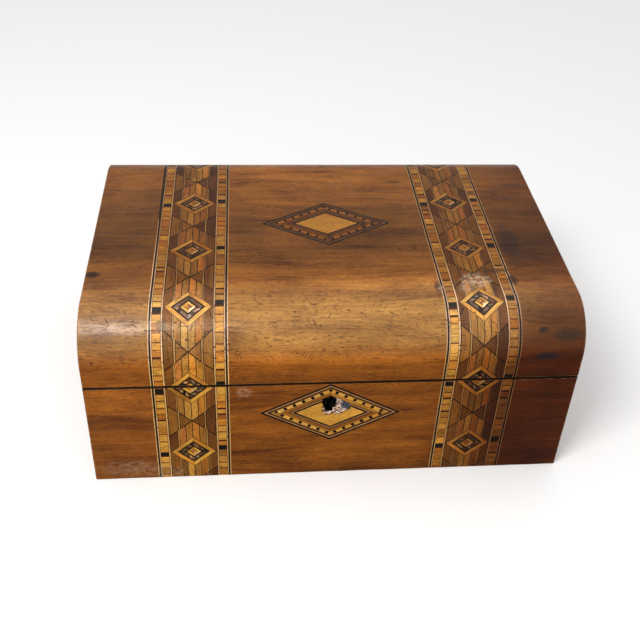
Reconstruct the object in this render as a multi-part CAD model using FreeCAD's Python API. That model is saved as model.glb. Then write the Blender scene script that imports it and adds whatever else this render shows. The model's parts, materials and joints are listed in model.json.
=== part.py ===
import FreeCAD, Part
import math
import os

# Walnut work box: a square-cornered base and a lid with rounded front and back shoulders,
# both pine boards under a walnut veneer, crossed by two bands of parquetry.  A diamond of
# inlay sits in the lid and another in the front, round the keyhole of a box lock.
#
# Millimetres.  Origin at the middle of the underside, +X to the right of someone facing
# the keyhole, +Y to the back (the hinges), +Z up.

V = FreeCAD.Vector

# ---- the box ----
WIDTH = 280.0
DEPTH = 190.0
HEIGHT = 116.0
RIM_Z = 74.0             # top edge of the base
LID_GAP = 0.6            # gap between base and closed lid
LID_Z = RIM_Z + LID_GAP
SHOULDER_R = 27.0        # outer radius of the lid's front and back shoulders
BOARD = 8.0              # pine boards
BOTTOM = 6.0             # bottom board
VENEER = 1.0
PAPER = 0.4              # lining
LINING_SETBACK = 1.0     # the lining stops this far short of each rim

# ---- the two bands, from the edge nearest the middle of the box outwards ----
BAND_START = 60.0
LIGHT_LINE = 0.7
DARK_LINE = 0.9
BLOCK_STRIP = 4.8
INNER_LINE = 0.9
LOZENGE_STRIP = 27.2
BAND_LAYOUT = (
    ("light", LIGHT_LINE), ("dark", DARK_LINE), ("light", LIGHT_LINE),
    ("blocks", BLOCK_STRIP), ("light", INNER_LINE),
    ("lozenges", LOZENGE_STRIP),
    ("light", INNER_LINE), ("blocks", BLOCK_STRIP),
    ("light", LIGHT_LINE), ("dark", DARK_LINE), ("light", LIGHT_LINE),
)
BAND_END = BAND_START + sum(width for _, width in BAND_LAYOUT)

# ---- the two diamonds (cartouches) ----
# Ring limits are shares of the diamond's half height.
OUTER_FRAME = (1.0, 0.85)
DOTTED_BORDER = (0.85, 0.60)
INNER_FRAME = (0.60, 0.48)
FIELD = 0.48
LID_DIAMOND_Y = 3.5
LID_DIAMOND_HALF = (40.0, 23.2)
FRONT_DIAMOND_X = -2.6
FRONT_DIAMOND_Z = 51.0
FRONT_DIAMOND_HALF = (40.8, 22.5)
FRONT_DIAMOND_TILT = -0.024     # the front diamond was let in slightly out of true

# ---- lock, measured from the keyhole's line and down from the rim ----
LOCK_X = -3.5
CASE_HALF = 17.0
CASE_DROP = 24.0
CASE_WALL = 0.8
SELVEDGE_HALF = 22.5
PLATE = 1.2              # selvedge and link plate
LOCK_FRONT_Y = -92.0     # 2 mm of pine is left in front of the case
BACK_PLATE = 1.0
HOOK_PITCH = 14.0
HOOK_LEFT = -10.0
HOOK_SHANK = 2.5
HOOK_TOE = 5.5
HOOK_Y = (-90.1, -88.1)
HOOK_TOE_DROP = (7.5, 5.5)
SLOT_CLEAR = 0.5
SLOT_Y = (-90.9, -87.4)
BOLT_Y = (-90.4, -87.9)
PRONG_DROP = (5.2, 3.2)
PRONG_LEFT = -3.3
RISER_LEFT = -0.5
RISER_RIGHT = 1.5
BAR_DROP = (12.5, 8.5)
BAR_LEFT = -9.5
TALON_HALF = 1.5
TALON_RISE = 1.5
KEY_PIN_DROP = 14.5
KEY_PIN_R = 0.9
KEYHOLE_R = 3.6          # opening broken in the wood
KEYHOLE_SLOT = 4.4
KEYHOLE_DROP = 14.0
KEYHOLE_SLOT_DROP = 22.5
CASE_KEYHOLE_R = 2.6
CASE_KEYHOLE_SLOT = 2.6
CASE_KEYHOLE_SLOT_DROP = 21.0
LOCK_SCREW_X = 19.8

# ---- hinges ----
HINGE_X = (-80.0, 80.0)
HINGE_LENGTH = 30.0
PIN_Y = 97.5
PIN_Z = RIM_Z + LID_GAP / 2
PIN_R = 0.9
BORE_R = 0.93            # bore of the lid's knuckles, which turn on the pin
KNUCKLE_R = 2.1
KNUCKLES = 5
KNUCKLE_GAP = 0.3
LEAF = 1.1
LEAF_Y = 87.5            # front edge of the leaves
LEAF_SCREW_Y = 90.6
LEAF_SCREW_PITCH = 10.0

# ---- brass screws ----
SCREW_R = 0.9
SCREW_HEAD_R = 1.8
SCREW_HEAD = 1.0
SCREW_LENGTH = 9.0
SCREW_SLOT = 0.4

HALF_W = WIDTH / 2
HALF_D = DEPTH / 2


def block(x0, x1, y0, y1, z0, z1):
    return Part.makeBox(x1 - x0, y1 - y0, z1 - z0, V(x0, y0, z0))


def lock_block(x0, x1, y0, y1, drop_low, drop_high):
    """Block placed from the lock's centre line and measured down from the rim."""
    return block(LOCK_X + x0, LOCK_X + x1, y0, y1, RIM_Z - drop_low, RIM_Z - drop_high)


def gather(shapes):
    return Part.makeCompound(list(shapes))


# ---------------------------------------------------------------- lid cross-section

def arch_points(inset):
    """Corner and mid-arc points of the lid's section, front foot to back foot."""
    y = HALF_D - inset
    flat = HALF_D - SHOULDER_R
    spring = HEIGHT - SHOULDER_R
    radius = SHOULDER_R - inset
    bulge = radius * math.sqrt(0.5)
    return [
        V(0, -y, LID_Z),
        V(0, -y, spring),
        V(0, -flat - bulge, spring + bulge),
        V(0, -flat, HEIGHT - inset),
        V(0, flat, HEIGHT - inset),
        V(0, flat + bulge, spring + bulge),
        V(0, y, spring),
        V(0, y, LID_Z),
    ]


def arch_edges(inset):
    p = arch_points(inset)
    return [
        Part.makeLine(p[0], p[1]),
        Part.Arc(p[1], p[2], p[3]).toShape(),
        Part.makeLine(p[3], p[4]),
        Part.Arc(p[4], p[5], p[6]).toShape(),
        Part.makeLine(p[6], p[7]),
    ]


def solid_arch(x0, x1, inset):
    """Filled slice of the lid, as its end boards are."""
    feet = arch_points(inset)
    wire = Part.Wire(arch_edges(inset) + [Part.makeLine(feet[7], feet[0])])
    face = Part.Face(wire)
    face.translate(V(x0, 0, 0))
    return face.extrude(V(x1 - x0, 0, 0))


def arch_shell(x0, x1, inset_out, inset_in):
    """Bent skin between two insets, running front foot to back foot."""
    outer = arch_points(inset_out)
    inner = arch_points(inset_in)
    edges = arch_edges(inset_out) + arch_edges(inset_in)
    edges.append(Part.makeLine(outer[7], inner[7]))
    edges.append(Part.makeLine(inner[0], outer[0]))
    wire = Part.Wire(Part.__sortEdges__(edges))
    face = Part.Face(wire)
    face.translate(V(x0, 0, 0))
    return face.extrude(V(x1 - x0, 0, 0))


# ---------------------------------------------------------------- screws

def screw_envelope(x, y, face_z, up):
    """Countersunk screw without its slot; up is the way the head faces, +1 or -1."""
    inward = V(0, 0, -up)
    head = Part.makeCone(SCREW_HEAD_R, SCREW_R, SCREW_HEAD, V(x, y, face_z), inward)
    shank_z = face_z - up * SCREW_HEAD
    shank = Part.makeCylinder(SCREW_R, SCREW_LENGTH, V(x, y, shank_z), inward)
    tip_z = shank_z - up * SCREW_LENGTH
    tip = Part.makeCone(SCREW_R, 0.0, SCREW_R * 1.5, V(x, y, tip_z), inward)
    return head.fuse([shank, tip])


def screw(x, y, face_z, up):
    depth = SCREW_SLOT
    low = face_z - depth if up > 0 else face_z
    slot = block(x - SCREW_HEAD_R, x + SCREW_HEAD_R,
                 y - SCREW_SLOT / 2, y + SCREW_SLOT / 2, low, low + depth)
    return screw_envelope(x, y, face_z, up).cut(slot)


def hinge_screw_spots():
    return [(hx + step * LEAF_SCREW_PITCH, LEAF_SCREW_Y) for hx in HINGE_X for step in (-1, 0, 1)]


def lock_screw_spots():
    y = (LOCK_FRONT_Y - HALF_D + VENEER + BOARD) / 2
    return [(LOCK_X + side * LOCK_SCREW_X, y) for side in (-1, 1)]


# ---------------------------------------------------------------- hinges

def leaf_plate(hx, z0, z1):
    return block(hx - HINGE_LENGTH / 2, hx + HINGE_LENGTH / 2, LEAF_Y, HALF_D, z0, z1)


def knuckle_spans(hx, first):
    """Length of every second knuckle of a hinge, starting with number first."""
    size = (HINGE_LENGTH - (KNUCKLES - 1) * KNUCKLE_GAP) / KNUCKLES
    start = hx - HINGE_LENGTH / 2
    spans = []
    for number in range(first, KNUCKLES, 2):
        low = start + number * (size + KNUCKLE_GAP)
        spans.append((low, low + size))
    return spans


def hinge_leaf(hx, z0, z1, first, bore, up):
    leaf = leaf_plate(hx, z0, z1)
    for low, high in knuckle_spans(hx, first):
        centre = V(low, PIN_Y, PIN_Z)
        tongue = block(low, high, HALF_D - 1.0, PIN_Y, z0, z1)
        knuckle = Part.makeCylinder(KNUCKLE_R, high - low, centre, V(1, 0, 0))
        hole = Part.makeCylinder(bore, high - low, centre, V(1, 0, 0))
        leaf = leaf.fuse([tongue, knuckle]).cut(hole)
    face_z = z1 if up > 0 else z0
    for x, y in hinge_screw_spots():
        if abs(x - hx) < HINGE_LENGTH / 2:
            leaf = leaf.cut(screw_envelope(x, y, face_z, up))
    return leaf.removeSplitter()


def base_leaf(hx):
    return hinge_leaf(hx, RIM_Z - LEAF, RIM_Z, 0, PIN_R, 1)


def lid_leaf(hx):
    return hinge_leaf(hx, LID_Z, LID_Z + LEAF, 1, BORE_R, -1)


def hinge_pin(hx):
    start = V(hx - HINGE_LENGTH / 2, PIN_Y, PIN_Z)
    return Part.makeCylinder(PIN_R, HINGE_LENGTH, start, V(1, 0, 0))


def base_hinge_recesses():
    plates = [leaf_plate(hx, RIM_Z - LEAF, RIM_Z) for hx in HINGE_X]
    screws = [screw_envelope(x, y, RIM_Z, 1) for x, y in hinge_screw_spots()]
    return plates + screws


def lid_hinge_recesses():
    plates = [leaf_plate(hx, LID_Z, LID_Z + LEAF) for hx in HINGE_X]
    screws = [screw_envelope(x, y, LID_Z, -1) for x, y in hinge_screw_spots()]
    return plates + screws


# ---------------------------------------------------------------- lock

def keyhole(radius, slot, slot_drop, y0, y1):
    """Round-topped keyhole cut through from y0 to y1."""
    centre = V(LOCK_X, y0, RIM_Z - KEYHOLE_DROP)
    eye = Part.makeCylinder(radius, y1 - y0, centre, V(0, 1, 0))
    stem = lock_block(-slot / 2, slot / 2, y0, y1, slot_drop, KEYHOLE_DROP)
    return eye.fuse(stem)


def lock_inner_y():
    return -HALF_D + VENEER + BOARD


def lock_recess():
    pocket = lock_block(-CASE_HALF, CASE_HALF, LOCK_FRONT_Y, lock_inner_y(), CASE_DROP, 0)
    ledge = lock_block(-SELVEDGE_HALF, SELVEDGE_HALF, LOCK_FRONT_Y, lock_inner_y(), PLATE, 0)
    return pocket.fuse(ledge)


def lock_case():
    back = lock_inner_y() - BACK_PLATE
    shell = lock_block(-CASE_HALF, CASE_HALF, LOCK_FRONT_Y, back, CASE_DROP, PLATE)
    inside = lock_block(-CASE_HALF + CASE_WALL, CASE_HALF - CASE_WALL,
                        LOCK_FRONT_Y + CASE_WALL, back, CASE_DROP - CASE_WALL, PLATE)
    hole = keyhole(CASE_KEYHOLE_R, CASE_KEYHOLE_SLOT, CASE_KEYHOLE_SLOT_DROP,
                   LOCK_FRONT_Y, LOCK_FRONT_Y + CASE_WALL)
    return shell.cut(inside).cut(hole)


def lock_back_plate():
    inner = lock_inner_y()
    return lock_block(-CASE_HALF, CASE_HALF, inner - BACK_PLATE, inner, CASE_DROP, PLATE)


def hook_lefts():
    return (HOOK_LEFT, HOOK_LEFT + HOOK_PITCH)


def lock_selvedge():
    plate = lock_block(-SELVEDGE_HALF, SELVEDGE_HALF, LOCK_FRONT_Y, lock_inner_y(), PLATE, 0)
    for left in hook_lefts():
        slot = lock_block(left - SLOT_CLEAR, left + HOOK_TOE + SLOT_CLEAR,
                          SLOT_Y[0], SLOT_Y[1], PLATE, 0)
        plate = plate.cut(slot)
    for x, y in lock_screw_spots():
        plate = plate.cut(screw_envelope(x, y, RIM_Z, 1))
    return plate


def lock_key_pin():
    start = V(LOCK_X, LOCK_FRONT_Y + 0.2, RIM_Z - KEY_PIN_DROP)
    length = lock_inner_y() - BACK_PLATE - start.y
    return Part.makeCylinder(KEY_PIN_R, length, start, V(0, 1, 0))


def lock_bolt():
    """Sliding bar with a prong that runs over the toe of each hook."""
    right = HOOK_PITCH + RISER_RIGHT
    bolt = lock_block(BAR_LEFT, right, BOLT_Y[0], BOLT_Y[1], BAR_DROP[0], BAR_DROP[1])
    for shift in (0, HOOK_PITCH):
        riser = lock_block(shift + RISER_LEFT, shift + RISER_RIGHT,
                           BOLT_Y[0], BOLT_Y[1], BAR_DROP[1], PRONG_DROP[1])
        prong = lock_block(shift + PRONG_LEFT, shift + RISER_RIGHT,
                           BOLT_Y[0], BOLT_Y[1], PRONG_DROP[0], PRONG_DROP[1])
        bolt = bolt.fuse([riser, prong])
    talon = lock_block(-TALON_HALF, TALON_HALF, BOLT_Y[0], BOLT_Y[1],
                       BAR_DROP[0], BAR_DROP[0] - TALON_RISE)
    return bolt.cut(talon).removeSplitter()


def link_plate():
    """Plate in the lid's front edge with the two hooks that drop into the lock."""
    plate = block(LOCK_X - SELVEDGE_HALF, LOCK_X + SELVEDGE_HALF,
                  LOCK_FRONT_Y, lock_inner_y(), LID_Z, LID_Z + PLATE)
    for left in hook_lefts():
        shank = lock_block(left, left + HOOK_SHANK, HOOK_Y[0], HOOK_Y[1],
                           HOOK_TOE_DROP[0], -LID_GAP)
        toe = lock_block(left, left + HOOK_TOE, HOOK_Y[0], HOOK_Y[1],
                         HOOK_TOE_DROP[0], HOOK_TOE_DROP[1])
        plate = plate.fuse([shank, toe])
    for x, y in lock_screw_spots():
        plate = plate.cut(screw_envelope(x, y, LID_Z, -1))
    return plate.removeSplitter()


# ---------------------------------------------------------------- pine boards

def base_bottom_board():
    return block(-HALF_W + VENEER + BOARD, HALF_W - VENEER - BOARD,
                 -HALF_D + VENEER + BOARD, HALF_D - VENEER - BOARD, 0, BOTTOM)


def base_long_board(side):
    """Front board for side -1, back board for side +1."""
    near = HALF_D - VENEER - BOARD
    far = HALF_D - VENEER
    low, high = (-far, -near) if side < 0 else (near, far)
    return block(-HALF_W + VENEER, HALF_W - VENEER, low, high, 0, RIM_Z)


def base_front_board():
    board = base_long_board(-1).cut(lock_recess())
    hole = keyhole(KEYHOLE_R, KEYHOLE_SLOT, KEYHOLE_SLOT_DROP,
                   -HALF_D + VENEER, LOCK_FRONT_Y)
    screws = [screw_envelope(x, y, RIM_Z, 1) for x, y in lock_screw_spots()]
    return board.cut([hole] + screws)


def base_back_board():
    return base_long_board(1).cut(base_hinge_recesses())


def base_end_board(side):
    near = HALF_W - VENEER - BOARD
    far = HALF_W - VENEER
    low, high = (-far, -near) if side < 0 else (near, far)
    reach = HALF_D - VENEER - BOARD
    return block(low, high, -reach, reach, 0, RIM_Z)


def lid_carcass():
    end = HALF_W - VENEER - BOARD
    return arch_shell(-end, end, VENEER, VENEER + BOARD)


def lid_top_board():
    flat = HALF_D - SHOULDER_R
    return lid_carcass().common(block(-HALF_W, HALF_W, -flat, flat, LID_Z, HEIGHT))


def lid_front_rail():
    flat = HALF_D - SHOULDER_R
    rail = lid_carcass().common(block(-HALF_W, HALF_W, -HALF_D, -flat, LID_Z, HEIGHT))
    seat = block(LOCK_X - SELVEDGE_HALF, LOCK_X + SELVEDGE_HALF,
                 LOCK_FRONT_Y, lock_inner_y(), LID_Z, LID_Z + PLATE)
    screws = [screw_envelope(x, y, LID_Z, -1) for x, y in lock_screw_spots()]
    return rail.cut([seat] + screws)


def lid_back_rail():
    flat = HALF_D - SHOULDER_R
    rail = lid_carcass().common(block(-HALF_W, HALF_W, flat, HALF_D, LID_Z, HEIGHT))
    return rail.cut(lid_hinge_recesses())


def lid_end_board(side):
    near = HALF_W - VENEER - BOARD
    far = HALF_W - VENEER
    low, high = (-far, -near) if side < 0 else (near, far)
    return solid_arch(low, high, VENEER)


# ---------------------------------------------------------------- veneer skins

def base_end_veneer(side):
    near = HALF_W - VENEER
    low, high = (-HALF_W, -near) if side < 0 else (near, HALF_W)
    reach = HALF_D - VENEER
    return block(low, high, -reach, reach, 0, RIM_Z)


def base_back_veneer():
    skin = block(-HALF_W, HALF_W, HALF_D - VENEER, HALF_D, 0, RIM_Z)
    return skin.cut([leaf_plate(hx, RIM_Z - LEAF, RIM_Z) for hx in HINGE_X])


def base_front_skin(x0, x1):
    return block(x0, x1, -HALF_D, -HALF_D + VENEER, 0, RIM_Z)


def base_front_veneer_centre():
    return base_front_skin(-BAND_START, BAND_START).cut(front_diamond(1.0))


def lid_end_veneer(side):
    near = HALF_W - VENEER
    low, high = (-HALF_W, -near) if side < 0 else (near, HALF_W)
    return solid_arch(low, high, VENEER)


def lid_skin(x0, x1):
    """One strip of the lid's outer skin, cleared round the lid's hinge leaves."""
    skin = arch_shell(x0, x1, 0, VENEER)
    near_leaf = [hx for hx in HINGE_X
                 if x1 > hx - HINGE_LENGTH / 2 and x0 < hx + HINGE_LENGTH / 2]
    if near_leaf:
        skin = skin.cut([leaf_plate(hx, LID_Z, LID_Z + LEAF) for hx in near_leaf])
    return skin


def lid_veneer_centre():
    return lid_skin(-BAND_START, BAND_START).cut(lid_diamond(1.0))


# ---------------------------------------------------------------- parquetry bands

def band_spans(kind, side):
    """Limits in x of every strip of one kind in the left (-1) or right (+1) band."""
    spans = []
    start = BAND_START
    for name, width in BAND_LAYOUT:
        if name == kind:
            low, high = start, start + width
            spans.append((-high, -low) if side < 0 else (low, high))
        start += width
    return spans


def base_strips(kind, sides):
    return gather(base_front_skin(x0, x1) for side in sides for x0, x1 in band_spans(kind, side))


def lid_strips(kind, sides):
    return gather(lid_skin(x0, x1) for side in sides for x0, x1 in band_spans(kind, side))


# ---------------------------------------------------------------- diamonds

def diamond_corners(half, share, tilt):
    """Left, bottom, right and top corners of a diamond, as offsets from its centre."""
    across = half[0] * share
    high = half[1] * share
    return [
        (-across, -across * tilt),
        (-high * tilt, -high),
        (across, across * tilt),
        (high * tilt, high),
    ]


def front_diamond(share):
    points = [V(FRONT_DIAMOND_X + u, -HALF_D, FRONT_DIAMOND_Z + v)
              for u, v in diamond_corners(FRONT_DIAMOND_HALF, share, FRONT_DIAMOND_TILT)]
    face = Part.Face(Part.makePolygon(points + points[:1]))
    return face.extrude(V(0, VENEER, 0))


def lid_diamond(share):
    points = [V(u, LID_DIAMOND_Y + v, HEIGHT - VENEER)
              for u, v in diamond_corners(LID_DIAMOND_HALF, share, 0.0)]
    face = Part.Face(Part.makePolygon(points + points[:1]))
    return face.extrude(V(0, 0, VENEER))


def diamond_ring(diamond, limits):
    return diamond(limits[0]).cut(diamond(limits[1]))


def front_field():
    hole = keyhole(KEYHOLE_R, KEYHOLE_SLOT, KEYHOLE_SLOT_DROP, -HALF_D, -HALF_D + VENEER)
    return front_diamond(FIELD).cut(hole)


def front_lines():
    hole = keyhole(KEYHOLE_R, KEYHOLE_SLOT, KEYHOLE_SLOT_DROP, -HALF_D, -HALF_D + VENEER)
    inner = diamond_ring(front_diamond, INNER_FRAME).cut(hole)
    return gather([diamond_ring(front_diamond, OUTER_FRAME), inner])


def lid_lines():
    return gather([diamond_ring(lid_diamond, OUTER_FRAME), diamond_ring(lid_diamond, INNER_FRAME)])


# ---------------------------------------------------------------- paper linings

def base_lining_floor():
    x = HALF_W - VENEER - BOARD
    y = HALF_D - VENEER - BOARD
    return block(-x, x, -y, y, BOTTOM, BOTTOM + PAPER)


def base_lining_walls():
    x = HALF_W - VENEER - BOARD
    y = HALF_D - VENEER - BOARD
    low = BOTTOM + PAPER
    high = RIM_Z - LINING_SETBACK
    outer = block(-x, x, -y, y, low, high)
    inner = block(-x + PAPER, x - PAPER, -y + PAPER, y - PAPER, low, high)
    window = lock_block(-CASE_HALF, CASE_HALF, -y, -y + PAPER, CASE_DROP, 0)
    return outer.cut(inner).cut(window)


def lid_lining():
    end = HALF_W - VENEER - BOARD
    inset = VENEER + BOARD
    filled = solid_arch(-end, end, inset)
    hollow = solid_arch(-end + PAPER, end - PAPER, inset + PAPER)
    setback = block(-end, end, -HALF_D, HALF_D, LID_Z, LID_Z + LINING_SETBACK)
    return filled.cut(hollow).cut(setback)


# ---------------------------------------------------------------- every node

def nodes():
    left, right, both = (-1,), (1,), (-1, 1)
    hinge_spots = hinge_screw_spots()
    lock_spots = lock_screw_spots()
    return {
        "base_bottom_board": base_bottom_board(),
        "base_front_board": base_front_board(),
        "base_back_board": base_back_board(),
        "base_left_board": base_end_board(-1),
        "base_right_board": base_end_board(1),
        "base_left_veneer": base_end_veneer(-1),
        "base_right_veneer": base_end_veneer(1),
        "base_back_veneer": base_back_veneer(),
        "base_front_veneer_left": base_front_skin(-HALF_W, -BAND_END),
        "base_front_veneer_centre": base_front_veneer_centre(),
        "base_front_veneer_right": base_front_skin(BAND_END, HALF_W),
        "base_left_lozenge_strip": base_strips("lozenges", left),
        "base_right_lozenge_strip": base_strips("lozenges", right),
        "base_left_block_strips": base_strips("blocks", left),
        "base_right_block_strips": base_strips("blocks", right),
        "base_light_lines": base_strips("light", both),
        "base_dark_lines": base_strips("dark", both),
        "front_diamond_lines": front_lines(),
        "front_diamond_border": diamond_ring(front_diamond, DOTTED_BORDER),
        "front_diamond_field": front_field(),
        "lock_case": lock_case(),
        "lock_back_plate": lock_back_plate(),
        "lock_selvedge": lock_selvedge(),
        "lock_key_pin": lock_key_pin(),
        "lock_screws": gather(screw(x, y, RIM_Z, 1) for x, y in lock_spots),
        "lock_bolt": lock_bolt(),
        "hinge_base_leaf_left": base_leaf(HINGE_X[0]),
        "hinge_base_leaf_right": base_leaf(HINGE_X[1]),
        "hinge_pins": gather(hinge_pin(hx) for hx in HINGE_X),
        "hinge_base_screws": gather(screw(x, y, RIM_Z, 1) for x, y in hinge_spots),
        "base_lining_floor": base_lining_floor(),
        "base_lining_walls": base_lining_walls(),
        "lid_front_rail": lid_front_rail(),
        "lid_top_board": lid_top_board(),
        "lid_back_rail": lid_back_rail(),
        "lid_left_end": lid_end_board(-1),
        "lid_right_end": lid_end_board(1),
        "lid_left_end_veneer": lid_end_veneer(-1),
        "lid_right_end_veneer": lid_end_veneer(1),
        "lid_veneer_left": lid_skin(-HALF_W, -BAND_END),
        "lid_veneer_centre": lid_veneer_centre(),
        "lid_veneer_right": lid_skin(BAND_END, HALF_W),
        "lid_left_lozenge_strip": lid_strips("lozenges", left),
        "lid_right_lozenge_strip": lid_strips("lozenges", right),
        "lid_left_block_strips": lid_strips("blocks", left),
        "lid_right_block_strips": lid_strips("blocks", right),
        "lid_light_lines": lid_strips("light", both),
        "lid_dark_lines": lid_strips("dark", both),
        "lid_diamond_lines": lid_lines(),
        "lid_diamond_border": diamond_ring(lid_diamond, DOTTED_BORDER),
        "lid_diamond_field": lid_diamond(FIELD),
        "link_plate": link_plate(),
        "link_plate_screws": gather(screw(x, y, LID_Z, -1) for x, y in lock_spots),
        "hinge_lid_leaf_left": lid_leaf(HINGE_X[0]),
        "hinge_lid_leaf_right": lid_leaf(HINGE_X[1]),
        "hinge_lid_screws": gather(screw(x, y, LID_Z, -1) for x, y in hinge_spots),
        "lid_lining": lid_lining(),
    }


os.makedirs("parts", exist_ok=True)
for node, shape in nodes().items():
    shape.exportStep("parts/" + node + ".step")
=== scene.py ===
import bisect
import json
import math
import random

import bpy
from mathutils import Matrix, Vector, noise


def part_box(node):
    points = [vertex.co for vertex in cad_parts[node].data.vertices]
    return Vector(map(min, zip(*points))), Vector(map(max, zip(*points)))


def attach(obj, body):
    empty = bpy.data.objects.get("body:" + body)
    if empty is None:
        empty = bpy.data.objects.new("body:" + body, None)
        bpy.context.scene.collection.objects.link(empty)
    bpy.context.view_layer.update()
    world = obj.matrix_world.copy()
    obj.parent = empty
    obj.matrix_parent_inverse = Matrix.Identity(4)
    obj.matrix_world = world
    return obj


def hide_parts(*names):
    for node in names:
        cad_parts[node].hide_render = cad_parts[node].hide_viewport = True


# Looks for the inlaid walnut work box.  The outer skins are rebuilt as sheets of tiles,
# one tile for each piece of wood in the parquetry, laid over the CAD skins they replace.
#
# Every sheet is drawn flat, in millimetres, as (u, v): u runs along the box and v runs up
# the front, over the lid's front shoulder, across its flat top and down its back, so the
# bands keep their pattern where they turn the corner.  Blender's own units are metres.

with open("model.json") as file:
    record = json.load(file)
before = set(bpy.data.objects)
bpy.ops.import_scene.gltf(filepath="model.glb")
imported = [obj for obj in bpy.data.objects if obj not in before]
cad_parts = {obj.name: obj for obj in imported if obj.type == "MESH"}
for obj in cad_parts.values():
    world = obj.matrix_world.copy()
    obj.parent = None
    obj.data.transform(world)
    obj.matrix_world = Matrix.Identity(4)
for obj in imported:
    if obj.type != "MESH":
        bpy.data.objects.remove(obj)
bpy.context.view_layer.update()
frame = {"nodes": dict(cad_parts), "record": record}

MM = 0.001


def box_mm(node):
    """Lowest and highest corner of a CAD node, in millimetres."""
    low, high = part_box(node)
    return low / MM, high / MM


# ---- sizes, from the frame ----

lid_low, lid_high = box_mm("lid_veneer_centre")
top_corner = box_mm("lid_top_board")[1]
HALF_W = box_mm("base_back_veneer")[1].x
HALF_D = lid_high.y
HEIGHT = lid_high.z
RIM = box_mm("base_front_veneer_centre")[1].z       # top of the base
LID_FOOT = lid_low.z                # underside of the lid
FLAT = top_corner.y                 # half the depth of the lid's flat top
ROUND = HALF_D - FLAT               # radius of the shoulders
SPRING = HEIGHT - ROUND             # where the shoulders begin
SKIN = HEIGHT - top_corner.z        # thickness of the veneer
ARC = ROUND * math.pi / 2
ARC_STEPS = 24                      # flats that a shoulder is made of
TOP_START = SPRING + ARC            # v where the flat top begins
MIDDLE = TOP_START + FLAT           # v along the middle of the lid
TOP_END = MIDDLE + FLAT
LID_END = 2 * MIDDLE - LID_FOOT
LOCK_X = sum(c.x for c in box_mm("lock_key_pin")) / 2
BASE_NOTCH = 1.1                    # height of the notch for a hinge leaf in the base's back
LID_NOTCH = 1.2                     # the same in the lid
FAR = 1e4                           # beyond everything
AWAY = 1000                         # added to u on the back and ends, to keep the front's stains off them


def spans(node):
    """Limits in x of each strip in a node of parallel strips."""
    edges = sorted({round(v.co.x / MM, 2) for v in frame["nodes"][node].data.vertices})
    return list(zip(edges[0::2], edges[1::2]))


# ---- colours of the woods ----

WALNUT = (0.200, 0.056, 0.0062)
YELLOW = (0.560, 0.270, 0.055)
AMBER = (0.460, 0.180, 0.030)
ORANGE = (0.390, 0.125, 0.018)
ROSE = (0.360, 0.115, 0.030)
OLIVE = (0.300, 0.125, 0.026)
TAN = (0.205, 0.072, 0.013)
BROWN = (0.150, 0.047, 0.010)
DARK = (0.085, 0.023, 0.006)
FLECK = (0.150, 0.060, 0.028)
PINK = (0.400, 0.190, 0.105)
RED = (0.105, 0.016, 0.006)
BLACK = (0.004, 0.003, 0.003)
CREAM = (0.640, 0.370, 0.170)
GLUE = (0.010, 0.004, 0.002)


def shade(colour, factor):
    return tuple(c * factor for c in colour)


def between(a, b, share):
    """Two colours mixed, or a point on the line between two."""
    return tuple(x + (y - x) * share for x, y in zip(a, b))


def smooth_step(low, high, value):
    t = min(1.0, max(0.0, (value - low) / (high - low)))
    return t * t * (3 - 2 * t)


def toned(colour, tint):
    """A colour under a tint, with the alpha that a mesh colour needs."""
    return tuple(c * t for c, t in zip(colour, tint)) + (1.0,)


def hump(low, full_low, full_high, high, value):
    """0 outside low..high, 1 between the two full values."""
    return smooth_step(low, full_low, value) * (1 - smooth_step(full_high, high, value))


# ---- flat drawing ----

class Tile:
    """One piece of wood: a convex outline in (u, v) with its colour and grain."""

    def __init__(self, outline, colour, angle=90.0, joint=0.12):
        self.outline = outline
        self.colour = colour
        self.angle = angle          # direction of the grain, in degrees from u
        self.joint = joint          # half the width of the glue line round it
        self.source = self          # the piece of wood it was cut from

    def cut(self, outline):
        part = Tile(outline, self.colour, self.angle, self.joint)
        part.source = self.source
        return part


def cross(a, b):
    return a[0] * b[1] - a[1] * b[0]


def area(outline):
    return sum(cross(p, q) for p, q in zip(outline, outline[1:] + outline[:1])) / 2


def anticlockwise(outline):
    return outline if area(outline) > 0 else outline[::-1]


def keep_side(outline, normal, limit):
    """The part of a convex outline where the dot product with normal is at most limit."""
    kept = []
    count = len(outline)
    for i in range(count):
        p, q = outline[i], outline[(i + 1) % count]
        dp = p[0] * normal[0] + p[1] * normal[1] - limit
        dq = q[0] * normal[0] + q[1] * normal[1] - limit
        if dp <= 1e-9:
            kept.append(p)
        if (dp < -1e-9 and dq > 1e-9) or (dp > 1e-9 and dq < -1e-9):
            t = dp / (dp - dq)
            kept.append(tuple(a + (b - a) * t for a, b in zip(p, q)))
    return kept


def inside_box(outline, u0, u1, v0, v1):
    for normal, limit in (((-1, 0), -u0), ((1, 0), u1), ((0, -1), -v0), ((0, 1), v1)):
        outline = keep_side(outline, normal, limit)
        if len(outline) < 3:
            return []
    return outline if abs(area(outline)) > 0.004 else []


def crop(tiles, u0, u1, v0, v1):
    kept = []
    for tile in tiles:
        outline = inside_box(tile.outline, u0, u1, v0, v1)
        if outline:
            kept.append(tile.cut(outline))
    return kept


def without_box(tiles, u0, u1, v0, v1):
    """Tiles with one box cut out of them."""
    kept = []
    for tile in tiles:
        if not inside_box(tile.outline, u0, u1, v0, v1):
            kept.append(tile)
            continue
        for limits in ((-FAR, u0, -FAR, FAR), (u1, FAR, -FAR, FAR), (u0, u1, -FAR, v0), (u0, u1, v1, FAR)):
            outline = inside_box(tile.outline, *limits)
            if outline:
                kept.append(tile.cut(outline))
    return kept


def rect(u0, u1, v0, v1):
    return [(u0, v0), (u1, v0), (u1, v1), (u0, v1)]


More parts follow.
